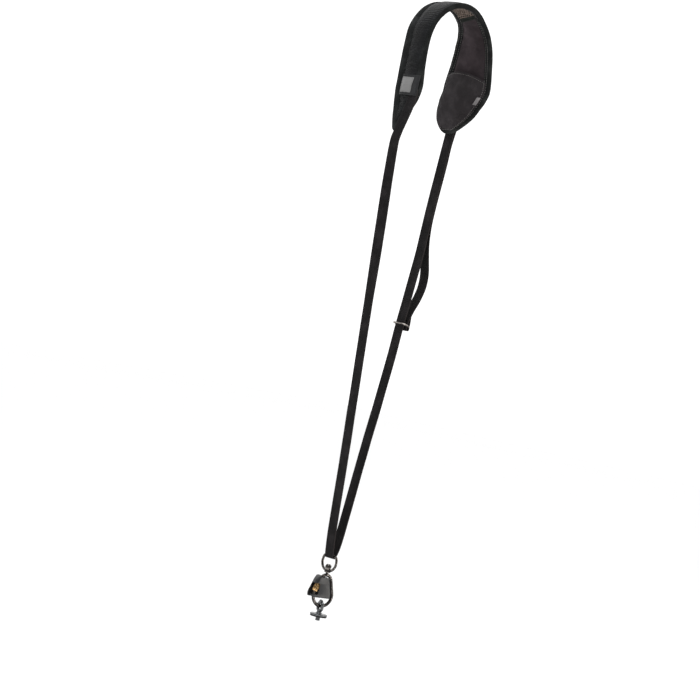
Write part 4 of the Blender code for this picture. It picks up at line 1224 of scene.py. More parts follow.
def pad_panel(name, face, inset, sunk, puff, columns, rows, start=-FRONT_LENGTH, end=BACK_LENGTH,
              start_slant=0.0, end_slant=0.0, growth=0.02):
    """A panel sewn between the bands of one face of the pad, puffed and a little crumpled."""
    def spot(u, v):
        across = 2 * v - 1
        s, y = pad_place(u, across, inset, start + start_slant * across, end + end_slant * across)
        return s, y + border_shift(s, across, inset) if face > 0 else y

    def place(u, v):
        across = 2 * v - 1
        s, y = spot(u, v)
        level = HALF_PAD - sunk + puff * (1 - across ** 4) + 0.6 * crumple(s, y, 0.004 * face)
        return pad_point(s, y, face * level)

    middle = (start + end) / 2
    panel = grid_piece(name, columns, rows, place, spot,
                       (pad_point(middle, drift(middle), face * HALF_PAD), spine(middle)[1] * face))
    return settle_cloth(panel, rim_points(panel), pressure=2.0, growth=growth, cap=0.0011)


class STRAP_OT_outer_panel(bpy.types.Operator):
    """Ribbed panel along the pad's outer face"""
    bl_idname = "strap.outer_panel"
    bl_label = "Outer panel"

    def execute(self, context):
        look = context.scene.strap_pad
        panel = pad_panel("outer_panel_cloth", 1, OUTER_BORDER - PANEL_TUCK, sunk=0.0008, puff=look.puff,
                          columns=240, rows=14)
        subdivide(panel, 2)
        pitch, height = look.rib_pitch, look.rib_height
        emboss(panel, lambda s, y: height * (np.abs(np.sin(np.pi * s / pitch)) ** 0.7 - 0.5))
        paint(panel, woven_cloth("ribbed cloth", *shades(look.rib_colour, 0.1, 0.4), pitch=0.0008,
                                 depth=0.00008, specular=0.15, roughness=0.4))
        finish(panel, "strap", "ribbed_cloth", "outer_panel")
        return {"FINISHED"}


class STRAP_OT_inner_panels(bpy.types.Operator):
    """Lining, mesh window and the tapes between them, on the pad's inner face"""
    bl_idname = "strap.inner_panels"
    bl_label = "Inner panels"

    def execute(self, context):
        look = context.scene.strap_pad
        half = MESH_WINDOW / 2
        inset = INNER_BORDER - PANEL_TUCK
        lining = woven_cloth("lining", *shades(look.lining_colour, 1.2, 1.9), **BRUSHED)
        front = pad_panel("front_lining_cloth", -1, inset, sunk=0.0009, puff=0.8 * look.puff,
                          columns=90, rows=14, end=-half)
        back = pad_panel("back_lining_cloth", -1, inset, sunk=0.0009, puff=0.7 * look.puff,
                         columns=84, rows=24, start=half, start_slant=WINDOW_SLANT)
        for item, node in ((front, "front_lining"), (back, "back_lining")):
            subdivide(item, 1)
            paint(item, lining)
            finish(item, "strap", "lining", node)
        self.add_window(look, half, inset)
        self.add_tapes(look, half, inset)
        return {"FINISHED"}

    def add_window(self, look, half, inset):
        """A net of thread loops over a dark backing."""
        pitch = look.hole_pitch
        cells = []
        along = []
        count = round(2 * half / (pitch * NET_ROWS))
        for number in range(count + 1):
            row = -half + 2 * half * number / count
            reach = half_width(row) - inset
            start = -reach + (pitch / 2 if number % 2 else 0)
            for step in range(int((reach - start) / pitch) + 1):
                y = start + step * pitch
                s = row + WINDOW_SLANT * y / reach * number / count
                puffed = 0.5 * look.puff * (1 - (y / reach) ** 4)
                level = HALF_PAD - SEWN_DEPTH + puffed + 0.6 * crumple(s, y, -0.004)
                cells.append([(pad_point(s, drift(s) + y, -level), -spine(s)[1])])
                along.append(Vector((0, 1, 0)))
        material = clouded("mesh", shades(look.mesh_colour, 1, 2.1), Clouds(300, 3, 0.35, 0.7),
                           Grain(5000, 2, 0.00005, 0.7), roughness=0.75, specular=0.2)
        net = run_tree(guide_piece("mesh_window_net", cells, along), net_tree(), pitch=pitch,
                       thread=NET_THREAD * pitch, material=material)
        finish(net, "strap", "mesh", "mesh_window")
        backing = pad_panel("mesh_backing", -1, inset, sunk=0.0012, puff=0.4 * look.puff,
                            columns=50, rows=14, start=-half, end=half, end_slant=WINDOW_SLANT, growth=0.0)
        paint(backing, woven_cloth("backing", (0.004, 0.0035, 0.0035), (0.007, 0.006, 0.006), pitch=0.0009,
                                   specular=0.02, sheen=0.0))
        finish(backing, "strap", "mesh")

    def add_tapes(self, look, half, inset):
        """A folded tape over each end of the window."""
        tape_cloth = woven_cloth("tape", (0.012, 0.0140, 0.012), (0.021, 0.0235, 0.0205), pitch=0.0007,
                                 pattern="twill")
        lines = []
        for side in (-1, 1):
            low, high = sorted((side * (half - TAPE_COVER), side * (half + TAPE_REACH)))
            slant = WINDOW_SLANT if side > 0 else 0.0

            def spot(u, v, low=low, high=high, slant=slant):
                s = low + (high - low) * u + slant * (2 * v - 1)
                return s, drift(s) + (2 * v - 1) * (half_width(s) - inset)

            def place(u, v):
                s, y = spot(u, v)
                across = 2 * v - 1
                rise = TAPE_PUFF * (1 - (2 * u - 1) ** 4) + 0.8 * look.puff * (1 - across ** 4)
                return pad_point(s, y, -(HALF_PAD - SEWN_DEPTH + rise + 0.8 * crumple(s, y, -0.004)))

            tape = grid_piece(f"window_tape_{'front' if side < 0 else 'back'}", 10, 26, place, spot)
            thicken(tape, TAPE_CLOTH)
            finish(paint(tape, tape_cloth), "strap", "edge_cloth")
            for share in (TAPE_ROW, 1 - TAPE_ROW):
                line = []
                for i in range(31):
                    across = SEWN_SIDE + (1 - 2 * SEWN_SIDE) * i / 30
                    outwards = -spine(spot(share, across)[0])[1]
                    line.append((place(share, across) + outwards * TAPE_THREAD, outwards))
                lines.append(line)
        stitches("window_tape_stitches", "edge_cloth", lines,
                 plain_thread("tape thread", (0.045, 0.05, 0.044)), look.stitch_pitch * 0.85)


class STRAP_OT_pocket(bpy.types.Operator):
    """Pocket on the back arm, hemmed at its mouth"""
    bl_idname = "strap.pocket"
    bl_label = "Pocket"

    def execute(self, context):
        look = context.scene.strap_pad
        last = inset_end(BACK_LENGTH, POCKET_INSET)

        def spot(u, v):
            across = 2 * v - 1
            mouth = mouth_place(across)
            s = mouth + (last - mouth) * (u - 0.08 * math.sin(2 * math.pi * u))
            half = 0.0 if u == 1 else max(0.0, half_width(s) - POCKET_INSET)
            return s, drift(s) + across * half

        def place(u, v):
            s, y = spot(u, v)
            across = 2 * v - 1
            bulge = POCKET_DEPTH * (1 - across ** 2) * (1 - u * u) * (0.8 + 0.8 * u * (1 - u))
            crumpled = noise.noise(Vector((s * 60, y * 60, 2)))
            bulge += POCKET_CRUMPLE * crumpled * (1 - across ** 4) * (1 - u ** 4)
            return pad_point(s, y, -HALF_PAD - POCKET_OFF - CLOTH / 2 - bulge)

        middle = BACK_LENGTH - POCKET_LENGTH / 2
        pocket = grid_piece("pocket_cloth", 64, 60, place, spot,
                            (pad_point(middle, 0, -0.009), -spine(middle)[1]))
        mouth = np.array([spot(0, i / 60) for i in range(1, 60)])
        marks = vertex_uv(pocket.data)
        sewn = [number for number in rim_points(pocket)
                if np.abs(mouth - marks[number]).sum(axis=1).min() > 0.00001]
        settle_cloth(pocket, sewn, pressure=0.6, growth=0.045, cap=0.0022)
        hem = [spot(0.075, SEWN_SIDE + (1 - 2 * SEWN_SIDE) * i / 60) for i in range(61)]
        rim = [spot(0.985 * i / 80 + 0.01, 0.035) for i in range(81)]
        rim += [spot(0.995 - 0.985 * i / 80, 0.965) for i in range(81)]
        lines = [surface_line(pocket, hem, rise=0.0006), surface_line(pocket, rim, rise=0.0006)]
        thicken(pocket, POCKET_CLOTH)
        cloth = woven_cloth("pocket cloth", *shades(look.pocket_colour, 1, 1.6), **BRUSHED)
        finish(paint(pocket, cloth), "strap", "pocket_cloth", "pocket")
        stitches("pocket_stitches", "pocket_cloth", lines,
                 plain_thread("pocket thread", look.thread_colour), look.stitch_pitch * 0.9)
        return {"FINISHED"}


def surface_line(item, marks, rise):
    """Points over a sheet at places of its UV map, each with its outward direction."""
    points, normals = point_array(item.data), point_array(item.data, "normal")
    known = vertex_uv(item.data)
    line = []
    for mark in marks:
        distances = np.linalg.norm(known - np.array(mark), axis=1)
        near = np.argsort(distances)[:4]
        weights = 1 / (distances[near] + 0.00002)
        weights /= weights.sum()
        out = Vector(weights @ normals[near]).normalized()
        line.append((Vector(weights @ points[near]) + out * rise, out))
    return line


class STRAP_OT_labels(bpy.types.Operator):
    """Bare patch on the front arm and bare tag beside the pocket"""
    bl_idname = "strap.labels"
    bl_label = "Patch and tag"

    def execute(self, context):
        look = context.scene.strap_pad
        start = -PATCH_PLACE - PATCH_LENGTH / 2

        def spot(u, v):
            return start + PATCH_LENGTH * u, PATCH_SIDE + PATCH_WIDTH * (v - 0.5)

        def place(u, v):
            """Over the strand that is sewn under it, down to the pad past the strand's end and beside it."""
            s, y = spot(u, v)
            over_strand = min(1.0, max(0.0, (0.9 - u) / 0.4))
            beside = 1 - 0.75 * max(0.0, (abs(2 * v - 1) - 0.55) / 0.45) ** 2
            pillow = PILLOW * (1 - (2 * u - 1) ** 8) * (1 - (2 * v - 1) ** 8)
            return pad_point(s, y, HALF_PAD + GAP + CLOTH / 2 + WEB_PITCH * over_strand * beside + pillow)

        outwards = (pad_point(start, 0, 0.01), spine(start)[1])
        patch = grid_piece("label_patch_cloth", 44, 44, place, spot, outwards)
        edge = [spot(*shares) for shares in square_loop(margin=0.075, count=24)]
        stitches("patch_stitches", "patch", [surface_line(patch, edge, rise=0.00055)],
                 plain_thread("patch thread", look.dark_thread_colour), pitch=0.0024, thread=0.0006)
        thicken(patch, CLOTH)
        coated = clouded("patch", shades(look.patch_colour, 1, 1.4), Clouds(90, 4, 0.4, 0.7),
                         Grain(1500, 4, 0.00010, 0.8), roughness=0.5, specular=0.25)
        finish(paint(patch, coated), "strap", "patch", "label_patch")

        def on_patch(u, v):
            """Shares of the patch at shares of the label."""
            return (0.5 + LABEL_SIZE / PATCH_LENGTH * (u - 0.5),
                    LABEL_MIDDLE + LABEL_SIZE / PATCH_WIDTH * (v - 0.5))

        def label_spot(u, v):
            return spot(*on_patch(u, v))

        def label_place(u, v):
            return place(*on_patch(u, v)) + outwards[1] * (CLOTH / 2 + LABEL_CLOTH / 2)

        label = grid_piece("label_cloth", 24, 24, label_place, label_spot, outwards)
        edge = [label_spot(*shares) for shares in square_loop(margin=0.07, count=20)]
        stitches("label_stitches", "patch", [surface_line(label, edge, rise=0.0003)],
                 plain_thread("label thread", *shades(look.label_colour, 0.5)), pitch=0.0020,
                 thread=0.0005)
        thicken(label, LABEL_CLOTH)
        plain = woven_cloth("label cloth", *shades(look.label_colour, 0.85, 1), pitch=0.0005,
                            depth=0.00005, roughness=0.6, specular=0.2)
        finish(paint(label, plain), "strap", "patch")

        tag = BACK_LENGTH - TAG_PLACE
        lift = HALF_PAD + 2 * GAP + 2.2 * CLOTH + POCKET_DEPTH * 0.42

        def tag_spot(u, v):
            s = tag + TAG_LENGTH * (u - 0.5)
            return s, drift(s) - half_width(s) + TAG_MARGIN + TAG_WIDTH * (v - 0.5)

        def tag_place(u, v):
            """On a slope beside the pocket, a little curled."""
            s, y = tag_spot(u, v)
            curl = 0.0004 * math.sin(math.pi * u)
            return pad_point(s, y, -lift - TAG_TILT * TAG_WIDTH * (v - 0.5) - curl)

        side_tag = grid_piece("side_tag_cloth", 14, 10, tag_place, tag_spot,
                              (pad_point(*tag_spot(0.5, 0.5), -0.02), -spine(tag)[1]))
        thicken(side_tag, TAG_CLOTH)
        bright = woven_cloth("tag cloth", *shades(look.tag_colour, 0.6, 1), pitch=0.0004,
                             depth=0.00005, roughness=0.6)
        finish(paint(side_tag, bright), "strap", "tag", "side_tag")
        return {"FINISHED"}


def square_loop(margin, count):
    """Shares round a square, the margin in from its sides, back to the start."""
    low, high = margin, 1 - margin
    corners = [(low, low), (high, low), (high, high), (low, high), (low, low)]
    loop = []
    for (a, b), (c, d) in zip(corners, corners[1:]):
        loop += [(a + (c - a) * i / count, b + (d - b) * i / count) for i in range(count)]
    return loop + [corners[0]]


def web_section():
    """Round the webbing's section as (across, out) points, back to the start, its faces faintly ribbed."""
    half, edge = WEB_WIDTH / 2, WEB_THICKNESS / 2
    flat = half - edge
    loop = []
    for side in (1, -1):
        loop += [(-side * flat * (1 - i / 4), side * edge * (1 - 0.07 * (i % 2))) for i in range(8)]
        loop += [(side * (flat + edge * math.sin(a)), side * edge * math.cos(a))
                 for a in (math.pi * i / 6 for i in range(6))]
    return loop + [loop[0]]


def front_turn(point):
    """How far the front strand is turned about its run at a point, up to FRONT_TURN."""
    share = (-point.z - FRONT_TURN_START) / (FRONT_TURN_END - FRONT_TURN_START)
    return FRONT_TURN * math.sin(math.pi * min(1.0, max(0.0, share)))


def ribbon(name, path, sway, phase, turn):
    """Webbing along a path, its width along Y where the path and its turn allow."""
    count = len(path) - 1
    section = web_section()
    frames = []
    run = 0.0
    for i, point in enumerate(path):
        if i:
            run += (point - path[i - 1]).length
        along = (path[min(count, i + 1)] - path[max(0, i - 1)]).normalized()
        angle = turn(point) if turn else 0.0
        across = Vector((-math.sin(angle), math.cos(angle), 0))
        across = (across - along * across.dot(along)).normalized()
        frames.append((point, across, across.cross(along), run))

    def place(u, v):
        point, across, out, run = frames[round(u * count)]
        aside, rise = section[round(v * (len(section) - 1))]
        fade = min(1.0, run / SWAY_FADE, (frames[-1][3] - run) / SWAY_FADE)
        wander = sway * fade * noise.noise(Vector((run * 28, phase, 0)))
        cup = 0.5 * sway * fade * noise.noise(Vector((run * 22, phase, 5))) * (2 * aside / WEB_WIDTH)
        return point + across * (aside + wander) + out * (rise + cup)

    def measure(u, v):
        return frames[round(u * count)][3], section[round(v * (len(section) - 1))][0]
    return close_holes(grid_piece(name, count, len(section) - 1, place, measure))


class STRAP_OT_webbing(bpy.types.Operator):
    """The webbing loop: front strand, back strand and the strand that returns from the keeper"""
    bl_idname = "strap.webbing"
    bl_label = "Webbing"

    def execute(self, context):
        look = context.scene.strap_webbing
        # The edges are lighter: partly from rubbing, partly a painted highlight where they round off
        cloth = woven_cloth("webbing", *shades(look.colour, 0.7, 1.7), look.weave_pitch, "herringbone",
                            depth=0.00022, column=look.column, roughness=0.75, specular=0.10,
                            worn_and_highlight=look.worn_and_highlight_colour, worn_and_highlight_from=0.44 * WEB_WIDTH)
        strands = (("front_strand", front_path, front_turn), ("back_strand", back_path, None),
                   ("return_strand", return_path, None))
        for number, (node, path, turn) in enumerate(strands):
            item = ribbon(f"{node}_web", path(WEB_STEP), look.sway, 7.0 * number, turn)
            finish(paint(item, cloth), "strap", "webbing", node)
        return {"FINISHED"}


class STRAP_OT_keeper(bpy.types.Operator):
    """Staple on the pad's outer face, which the webbing folds over"""
    bl_idname = "strap.keeper"
    bl_label = "Keeper"

    def execute(self, context):
        look = context.scene.strap_fittings
        place = BACK_LENGTH - KEEPER_PLACE
        half = WEB_WIDTH / 2 + WEB_CLEARANCE + KEEPER_WIRE / 2
        foot, top = HALF_PAD + GAP, KEEPER_LEVEL
        corner = 0.4 * KEEPER_WIRE
        outline = [(-half, foot), (-half, top - corner), (corner - half, top), (0, top),
                   (half - corner, top), (half, top - corner), (half, foot)]
        path = smooth_path([pad_point(place, BACK_SIDE + y, level) for y, level in outline], 0.0006)
        keeper = wire("keeper_wire", path, KEEPER_WIRE)
        finish_metal(keeper, dark_metal(look), "strap", "dark_metal", "keeper")
        return {"FINISHED"}


def dark_metal(look):
    found = bpy.data.materials.get("dark metal")
    # Dark plating, lighter on proud edges: partly bare metal from rubbing, partly a painted highlight
    return found or metal("dark metal", *shades(look.dark_colour, 0.35), look.worn_and_highlight_colour, roughness=0.16)


class STRAP_OT_slider(bpy.types.Operator):
    """Flat frame with a middle bar, which sets the strap's length"""
    bl_idname = "strap.slider"
    bl_label = "Slider"

    def execute(self, context):
        look = context.scene.strap_fittings
        long_half = (WEB_WIDTH + 2 * WEB_CLEARANCE + SLIDER_WIRE) / 2
        bar = SLIDER_WIRE
        corner = 0.0012
        loop = []
        for x, y, start in ((SLIDER_PITCH, long_half, 0), (-SLIDER_PITCH, long_half, 90),
                            (-SLIDER_PITCH, -long_half, 180), (SLIDER_PITCH, -long_half, 270)):
            for step in range(5):
                angle = math.radians(start + 22.5 * step)
                loop.append(Vector((x - math.copysign(corner, x) + corner * math.cos(angle),
                                    y - math.copysign(corner, y) + corner * math.sin(angle), 0)))
        parts = [wire("slider_rim", loop, bar, cyclic=True),
                 wire("slider_bar", [Vector((0, -long_half, 0)), Vector((0, long_half, 0))], bar)]
        slider = cast("slider_frame", parts, look.detail)
        set_in_place(slider, Matrix.Translation(slider_centre()) @ Matrix.Rotation(SLIDER_TILT, 4, "Y"))
        # Its proud ends turn light: partly bare metal from rubbing, partly a painted highlight
        bright = metal("slider metal", *shades(look.dark_colour, 0.6), look.worn_and_highlight_colour, roughness=0.16)
        finish_metal(slider, bright, "strap", "dark_metal", "slider")
        return {"FINISHED"}


class STRAP_OT_ring(bpy.types.Operator):
    """Ring on the webbing, with a drilled hub at its bottom"""
    bl_idname = "strap.ring"
    bl_label = "Ring"

    def execute(self, context):
        look = context.scene.strap_fittings
        half, bore = HUB_HEIGHT / 2, STEM_RADIUS + HUB_CLEARANCE
        wall = (HUB_RADIUS + bore) / 2
        side = [Vector((0, RING_WIDTH / 2 * row.y, RING_HEIGHT * row.z)) for row in RING_ROWS]
        end = Vector((0, wall, -RING_HEIGHT))
        near = side[:-1] + [end]
        far = [Vector((0, -point.y, point.z)) for point in near[:0:-1]]
        loop = smooth_path(far + near, 0.0008)
        edge = 0.0005
        rows = [(bore + edge / 2, half), (HUB_RADIUS - edge, half), (HUB_RADIUS, half - edge),
                (HUB_RADIUS, edge - half), (HUB_RADIUS - edge, -half), (bore + edge / 2, -half),
                (bore, edge / 2 - half), (bore, half - edge / 2)]
        hub = turned("ring_hub", rows, closed=True)
        set_in_place(hub, Matrix.Translation((0, 0, -RING_HEIGHT)))
        ring = cast("ring_casting", [wire("ring_wire", loop, RING_WIRE), hub], look.detail)
        set_in_place(ring, Matrix.Translation((0, 0, -DROP)))
        finish_metal(ring, dark_metal(look), "ring", "dark_metal", "ring")
        return {"FINISHED"}


HOOK_FRAME = Matrix.Rotation(HOOK_TURN, 4, "Z")


def hook_points():
    """The wire's middle line from its nose over the top and down its spine, round the bow to the heel."""
    upper, lower = Vector((0, 0, UPPER_Z)), Vector((0, 0, LOWER_Z))
    points = arc_points(upper, HOOK_TOP_RADIUS, math.pi - HOOK_SLOPE, HOOK_SLOPE, 24)
    return points + arc_points(lower, HOOK_BOW_RADIUS, HOOK_SLOPE, -math.pi - HOOK_SLOPE, 56)


def gate_frame():
    """The gate's place and direction as a matrix, and its length."""
    points = hook_points()
    nose, heel = points[0], points[-1]
    along = (nose - heel).normalized()
    turn = Matrix.Translation((nose + heel) / 2) @ Matrix.Rotation(math.atan2(along.x, along.z), 4, "Y")
    return HOOK_FRAME @ turn, (nose - heel).length - 2 * GAP


class STRAP_OT_hook(bpy.types.Operator):
    """Hook on its headed stem, with its gate and the sleeve that locks it"""
    bl_idname = "strap.hook"
    bl_label = "Hook"

    def execute(self, context):
        look = context.scene.strap_fittings
        stem_top = HUB_Z + HUB_HEIGHT / 2 + GAP
        head = [(0, UPPER_Z + HOOK_TOP_RADIUS), (STEM_RADIUS * 1.5, UPPER_Z + HOOK_TOP_RADIUS),
                (STEM_RADIUS * 1.3, HOOK_TOP_Z - 0.0003), (STEM_RADIUS, HOOK_TOP_Z),
                (STEM_RADIUS, stem_top), (HEAD_RADIUS - HEAD_EDGE, stem_top)]
        head += [(HEAD_RADIUS * radius, stem_top + rise) for radius, rise in
                 ((1, HEAD_EDGE), (1, 0.5 * HEAD_HEIGHT), (0.86, 0.8 * HEAD_HEIGHT),
                  (0.5, 0.96 * HEAD_HEIGHT), (0, HEAD_HEIGHT))]
        parts = [wire("hook_wire", hook_points(), HOOK_WIRE), turned("hook_stem", head, steps=40)]
        hook = set_in_place(cast("hook_casting", parts, look.detail, rounds=4), HOOK_FRAME)
        finish_metal(hook, dark_metal(look), "hook", "dark_metal", "hook")

        matrix, length = gate_frame()
        edge, half = 0.0003, length / 2
        gate = turned("gate_pin", [(0, -half), (GATE_RADIUS - edge, -half), (GATE_RADIUS, edge - half),
                                   (GATE_RADIUS, half - edge), (GATE_RADIUS - edge, half), (0, half)])
        finish_metal(set_in_place(gate, matrix), dark_metal(look), "hook", "dark_metal", "gate")

        sleeve = set_in_place(self.knurled_sleeve(look), matrix)
        # Dark and light copies of the brass, the light one on the proud knurl crests: partly bare metal from
        # rubbing, partly a painted highlight
        brass = metal("brass", *shades(look.brass_colour, 0.15, 1.5), roughness=0.18)
        finish_metal(sleeve, brass, "hook", "brass", "locking_sleeve")
        return {"FINISHED"}

    def knurled_sleeve(self, look):
        """A turned sleeve with plain collars at its ends and ridges between them."""
        inner, outer, half = GATE_RADIUS + GAP, SLEEVE_RADIUS, SLEEVE_LENGTH / 2
        edge, collar = 0.0003, 0.0016
        rows = [(inner, -half), (outer - 2 * edge, -half), (outer - edge / 2, edge - half),
                (outer - edge / 2, collar - half), (outer - 2 * edge, collar + edge - half)]
        rows += [(outer - 1.5 * edge, (collar + 2 * edge - half) * (1 - i / 8)) for i in range(8)]
        rows += [(radius, -height) for radius, height in reversed(rows)]
        sleeve = turned("sleeve_turning", rows, steps=8 * look.knurls, closed=True)
        for vert in sleeve.data.vertices:
            radius = math.hypot(vert.co.x, vert.co.y)
            if radius > outer - 1.8 * edge and abs(vert.co.z) < half - collar - edge:
                ridge = 0.5 + 0.5 * math.cos(look.knurls * math.atan2(vert.co.y, vert.co.x))
                scale = (outer - 1.9 * edge + 1.6 * edge * ridge) / radius
                vert.co.x *= scale
                vert.co.y *= scale
        return sleeve


def hook_side(height):
    """Distance of the hook's sides from its middle plane at a world height."""
    if height < LOWER_Z + HOOK_BOW_RADIUS * math.sin(HOOK_SLOPE):
        return math.sqrt(HOOK_BOW_RADIUS ** 2 - (height - LOWER_Z) ** 2)
    return (HOOK_TOP_RADIUS + (UPPER_Z - height) * math.sin(HOOK_SLOPE)) / math.cos(HOOK_SLOPE)


class STRAP_OT_cover(bpy.types.Operator):
    """Moulded cover round the gate side of the hook"""
    bl_idname = "strap.cover"
    bl_label = "Cover"

    def execute(self, context):
        look = context.scene.strap_fittings
        top = HOOK_TOP_Z - COVER_TOP
        bottom = top - COVER_HEIGHT
        middle = (top + bottom) / 2
        mid_wall = COVER_WALL / 2
        gate_side = (COVER_DEPTH / 2 + COVER_REACH - mid_wall) / math.cos(HOOK_SLOPE)
        spine_side = (HOOK_WIRE / 2 + COVER_INSET + mid_wall) / math.cos(HOOK_SLOPE)
        corners = 10
        around = 4 * (corners + 1)

        def place(u, v):
            """The middle of the wall, the gate side domed at its top and drawn in towards its bottom."""
            height = top + (bottom - top) * v
            quarter, step = divmod(round(u * around) % around, corners + 1)
            turn = math.pi / 2 * (quarter + step / corners)
            if quarter in (0, 3):
                corner, depth = COVER_EDGE_CORNER, COVER_EDGE
                centre = hook_side(height) - spine_side - corner
            else:
                corner, depth = COVER_CORNER, COVER_DEPTH
                centre = corner - hook_side(height) - gate_side
            side = (1 if quarter < 2 else -1) * (depth / 2 - mid_wall - corner)
            x = centre + corner * math.cos(turn)
            gate_share = max(0.0, -math.cos(turn))
            if height > middle:
                closed = gate_share * max(0.0, 1 - (top - height) / COVER_DOME)
                x += DOME_REACH * closed ** 2
                height += DOME_RISE * closed
            else:
                inwards = (x + hook_side(height) + gate_side) / COVER_ROUND
                drawn = COVER_ROUND * (1 - math.sqrt(1 - min(1.0, max(0.0, 1 - inwards)) ** 2))
                height += (middle - height) * 2 * drawn / COVER_HEIGHT
            return Vector((x, side + corner * math.sin(turn), height))

        shell = add_wall(grid_piece("cover_shell", around, 24, place, lambda u, v: (u, v)), COVER_WALL)
        window_top = top - WINDOW_TOP * COVER_HEIGHT
        window_bottom = bottom + WINDOW_BOTTOM * COVER_HEIGHT
        gate_place = -hook_side((window_top + window_bottom) / 2)
        window = block("cover_window", (2 * gate_place, -COVER_DEPTH, window_bottom),
                       (gate_place + WINDOW_REACH * SLEEVE_RADIUS, WINDOW_SIDE * COVER_DEPTH, window_top))
        rounding = window.modifiers.new("round", "BEVEL")
        rounding.width = WINDOW_CORNER * COVER_HEIGHT
        rounding.segments = 6
        passage = COVER_EDGE / 2 - NOTCH_WALL * COVER_WALL
        notch = block("cover_notch", (0, -passage, top - NOTCH_DEPTH * COVER_HEIGHT),
                      (3 * HOOK_BOW_RADIUS, passage, top + COVER_HEIGHT))
        for cutter in (window, notch):
            cut = shell.modifiers.new(cutter.name, "BOOLEAN")
            cut.operation = "DIFFERENCE"
            cut.object = cutter
            cut.solver = "EXACT"
        edge = shell.modifiers.new("round edges", "BEVEL")
        edge.width = COVER_BEVEL
        edge.segments = 2
        edge.angle_limit = math.radians(38)
        bake(shell)
        for cutter in (window, notch):
            bpy.data.objects.remove(cutter, do_unlink=True)
        shell.data.set_sharp_from_angle(angle=math.radians(45))
        material = clouded("cover plastic", shades(look.cover_colour, 0.25, 0.45), Clouds(160, 5, 0.45, 0.75),
                           Grain(2500, 3, 0.00003, 0.6), roughness=0.3, specular=0.35)
        finish(paint(set_in_place(shell, HOOK_FRAME), material), "hook", "cover_plastic", "cover")
        return {"FINISHED"}


class STRAP_OT_foot(bpy.types.Operator):
    """Camera foot: its eye on the hook, its disc and its threaded stud, with a rubber washer"""
    bl_idname = "strap.foot"
    bl_label = "Foot"

    def execute(self, context):
        look = context.scene.strap_fittings
        stud_bottom = DISC_BOTTOM_Z - GAP - WASHER_THICKNESS - STUD_LENGTH
        edge = 0.0005
        rows = [(0, EYE_BOTTOM_Z - 2 * GAP), (0.35 * FOOT_NECK, EYE_BOTTOM_Z - 2 * GAP),
                (0.5 * FOOT_NECK, EYE_BOTTOM_Z - 0.3 * FOOT_FLARE),
                (0.62 * FOOT_NECK, EYE_BOTTOM_Z - 0.75 * FOOT_FLARE), (0.9 * FOOT_NECK, DISC_TOP_Z),
                (DISC_RADIUS - edge, DISC_TOP_Z), (DISC_RADIUS, DISC_TOP_Z - edge),
                (DISC_RADIUS, DISC_BOTTOM_Z + edge), (DISC_RADIUS - edge, DISC_BOTTOM_Z),
                (STUD_RADIUS, DISC_BOTTOM_Z)]
        height = DISC_BOTTOM_Z - GAP - WASHER_THICKNESS
        while height - STUD_PITCH > stud_bottom:
            rows += [(STUD_RADIUS, height), (STUD_RADIUS - STUD_THREAD, height - STUD_PITCH / 2)]
            height -= STUD_PITCH
        rows += [(STUD_RADIUS, height), (STUD_RADIUS - STUD_THREAD, stud_bottom), (0, stud_bottom)]
        half = HOOK_WIRE / 2 + EYE_CLEARANCE + EYE_WIRE / 2
        corner = 0.75 * half
        bottom, top = EYE_BOTTOM_Z - EYE_WIRE / 2, EYE_TOP_Z - EYE_WIRE / 2
        loop = []
        centres = ((half - corner, top - corner), (corner - half, top - corner),
                   (corner - half, bottom + corner), (half - corner, bottom + corner))
        for quarter, (y, z) in enumerate(centres):
            for step in range(8):
                angle = math.pi / 2 * (quarter + step / 7)
                loop.append(Vector((0, y + corner * math.cos(angle), z + corner * math.sin(angle))))
        crown_top = top + EYE_CROWN
        crown = [Vector((0, side * CROWN_SHARE * half, crown_top)) for side in (-1, 1)]
        parts = [turned("foot_turning", rows, steps=72), wire("foot_eye", loop, EYE_WIRE, cyclic=True),
                 wire("foot_crown", crown, EYE_WIRE)]
        foot = set_in_place(cast("foot_casting", parts, 0.8 * look.detail, rounds=2), HOOK_FRAME)
        # Darker steel, lighter on proud edges: partly bare metal from rubbing, partly a painted highlight
        steel = metal("steel", *shades(look.steel_colour, 0.4, 1.3), roughness=0.25)
        finish_metal(foot, steel, "foot", "steel", "foot")

        inner, top = STUD_RADIUS + GAP, DISC_BOTTOM_Z - GAP
        low, groove = top - WASHER_THICKNESS, 0.00025
        rows = [(inner, top), (WASHER_RADIUS - groove, top), (WASHER_RADIUS, top - groove),
                (WASHER_RADIUS, low + groove), (WASHER_RADIUS - groove, low)]
        steps, rim = 5, 0.0008
        for step in range(steps):
            radius = WASHER_RADIUS - rim - step * (WASHER_RADIUS - inner - rim) / steps
            rows += [(radius, low), (radius - 0.0002, low + groove), (radius - 0.0005, low + groove),
                     (radius - 0.0007, low)]
        rows.append((inner, low))
        washer = turned("washer_moulding", rows, steps=96, closed=True)
        material = clouded("rubber", shades(look.rubber_colour, 1, 1.6), Clouds(200, 4, 0.45, 0.75),
                           Grain(3000, 3, 0.00004, 0.7), roughness=0.7, specular=0.15)
        finish(paint(washer, material), "foot", "rubber", "rubber_washer")
        return {"FINISHED"}


Lamp = namedtuple("Lamp", "name power width height colour back side up")
LAMPS = [
    Lamp("top light", "key", 0.6, 0.6, (0.88, 0.94, 1.0), 0.6, -0.2, 1.6),
    Lamp("left light", "side", 0.16, 1.2, (0.86, 0.93, 1.0), 0.7, -1.1, 0.4),
    Lamp("right light", "fill", 0.14, 1.2, (1.0, 0.95, 0.89), 0.3, 1.2, 0.1),
]


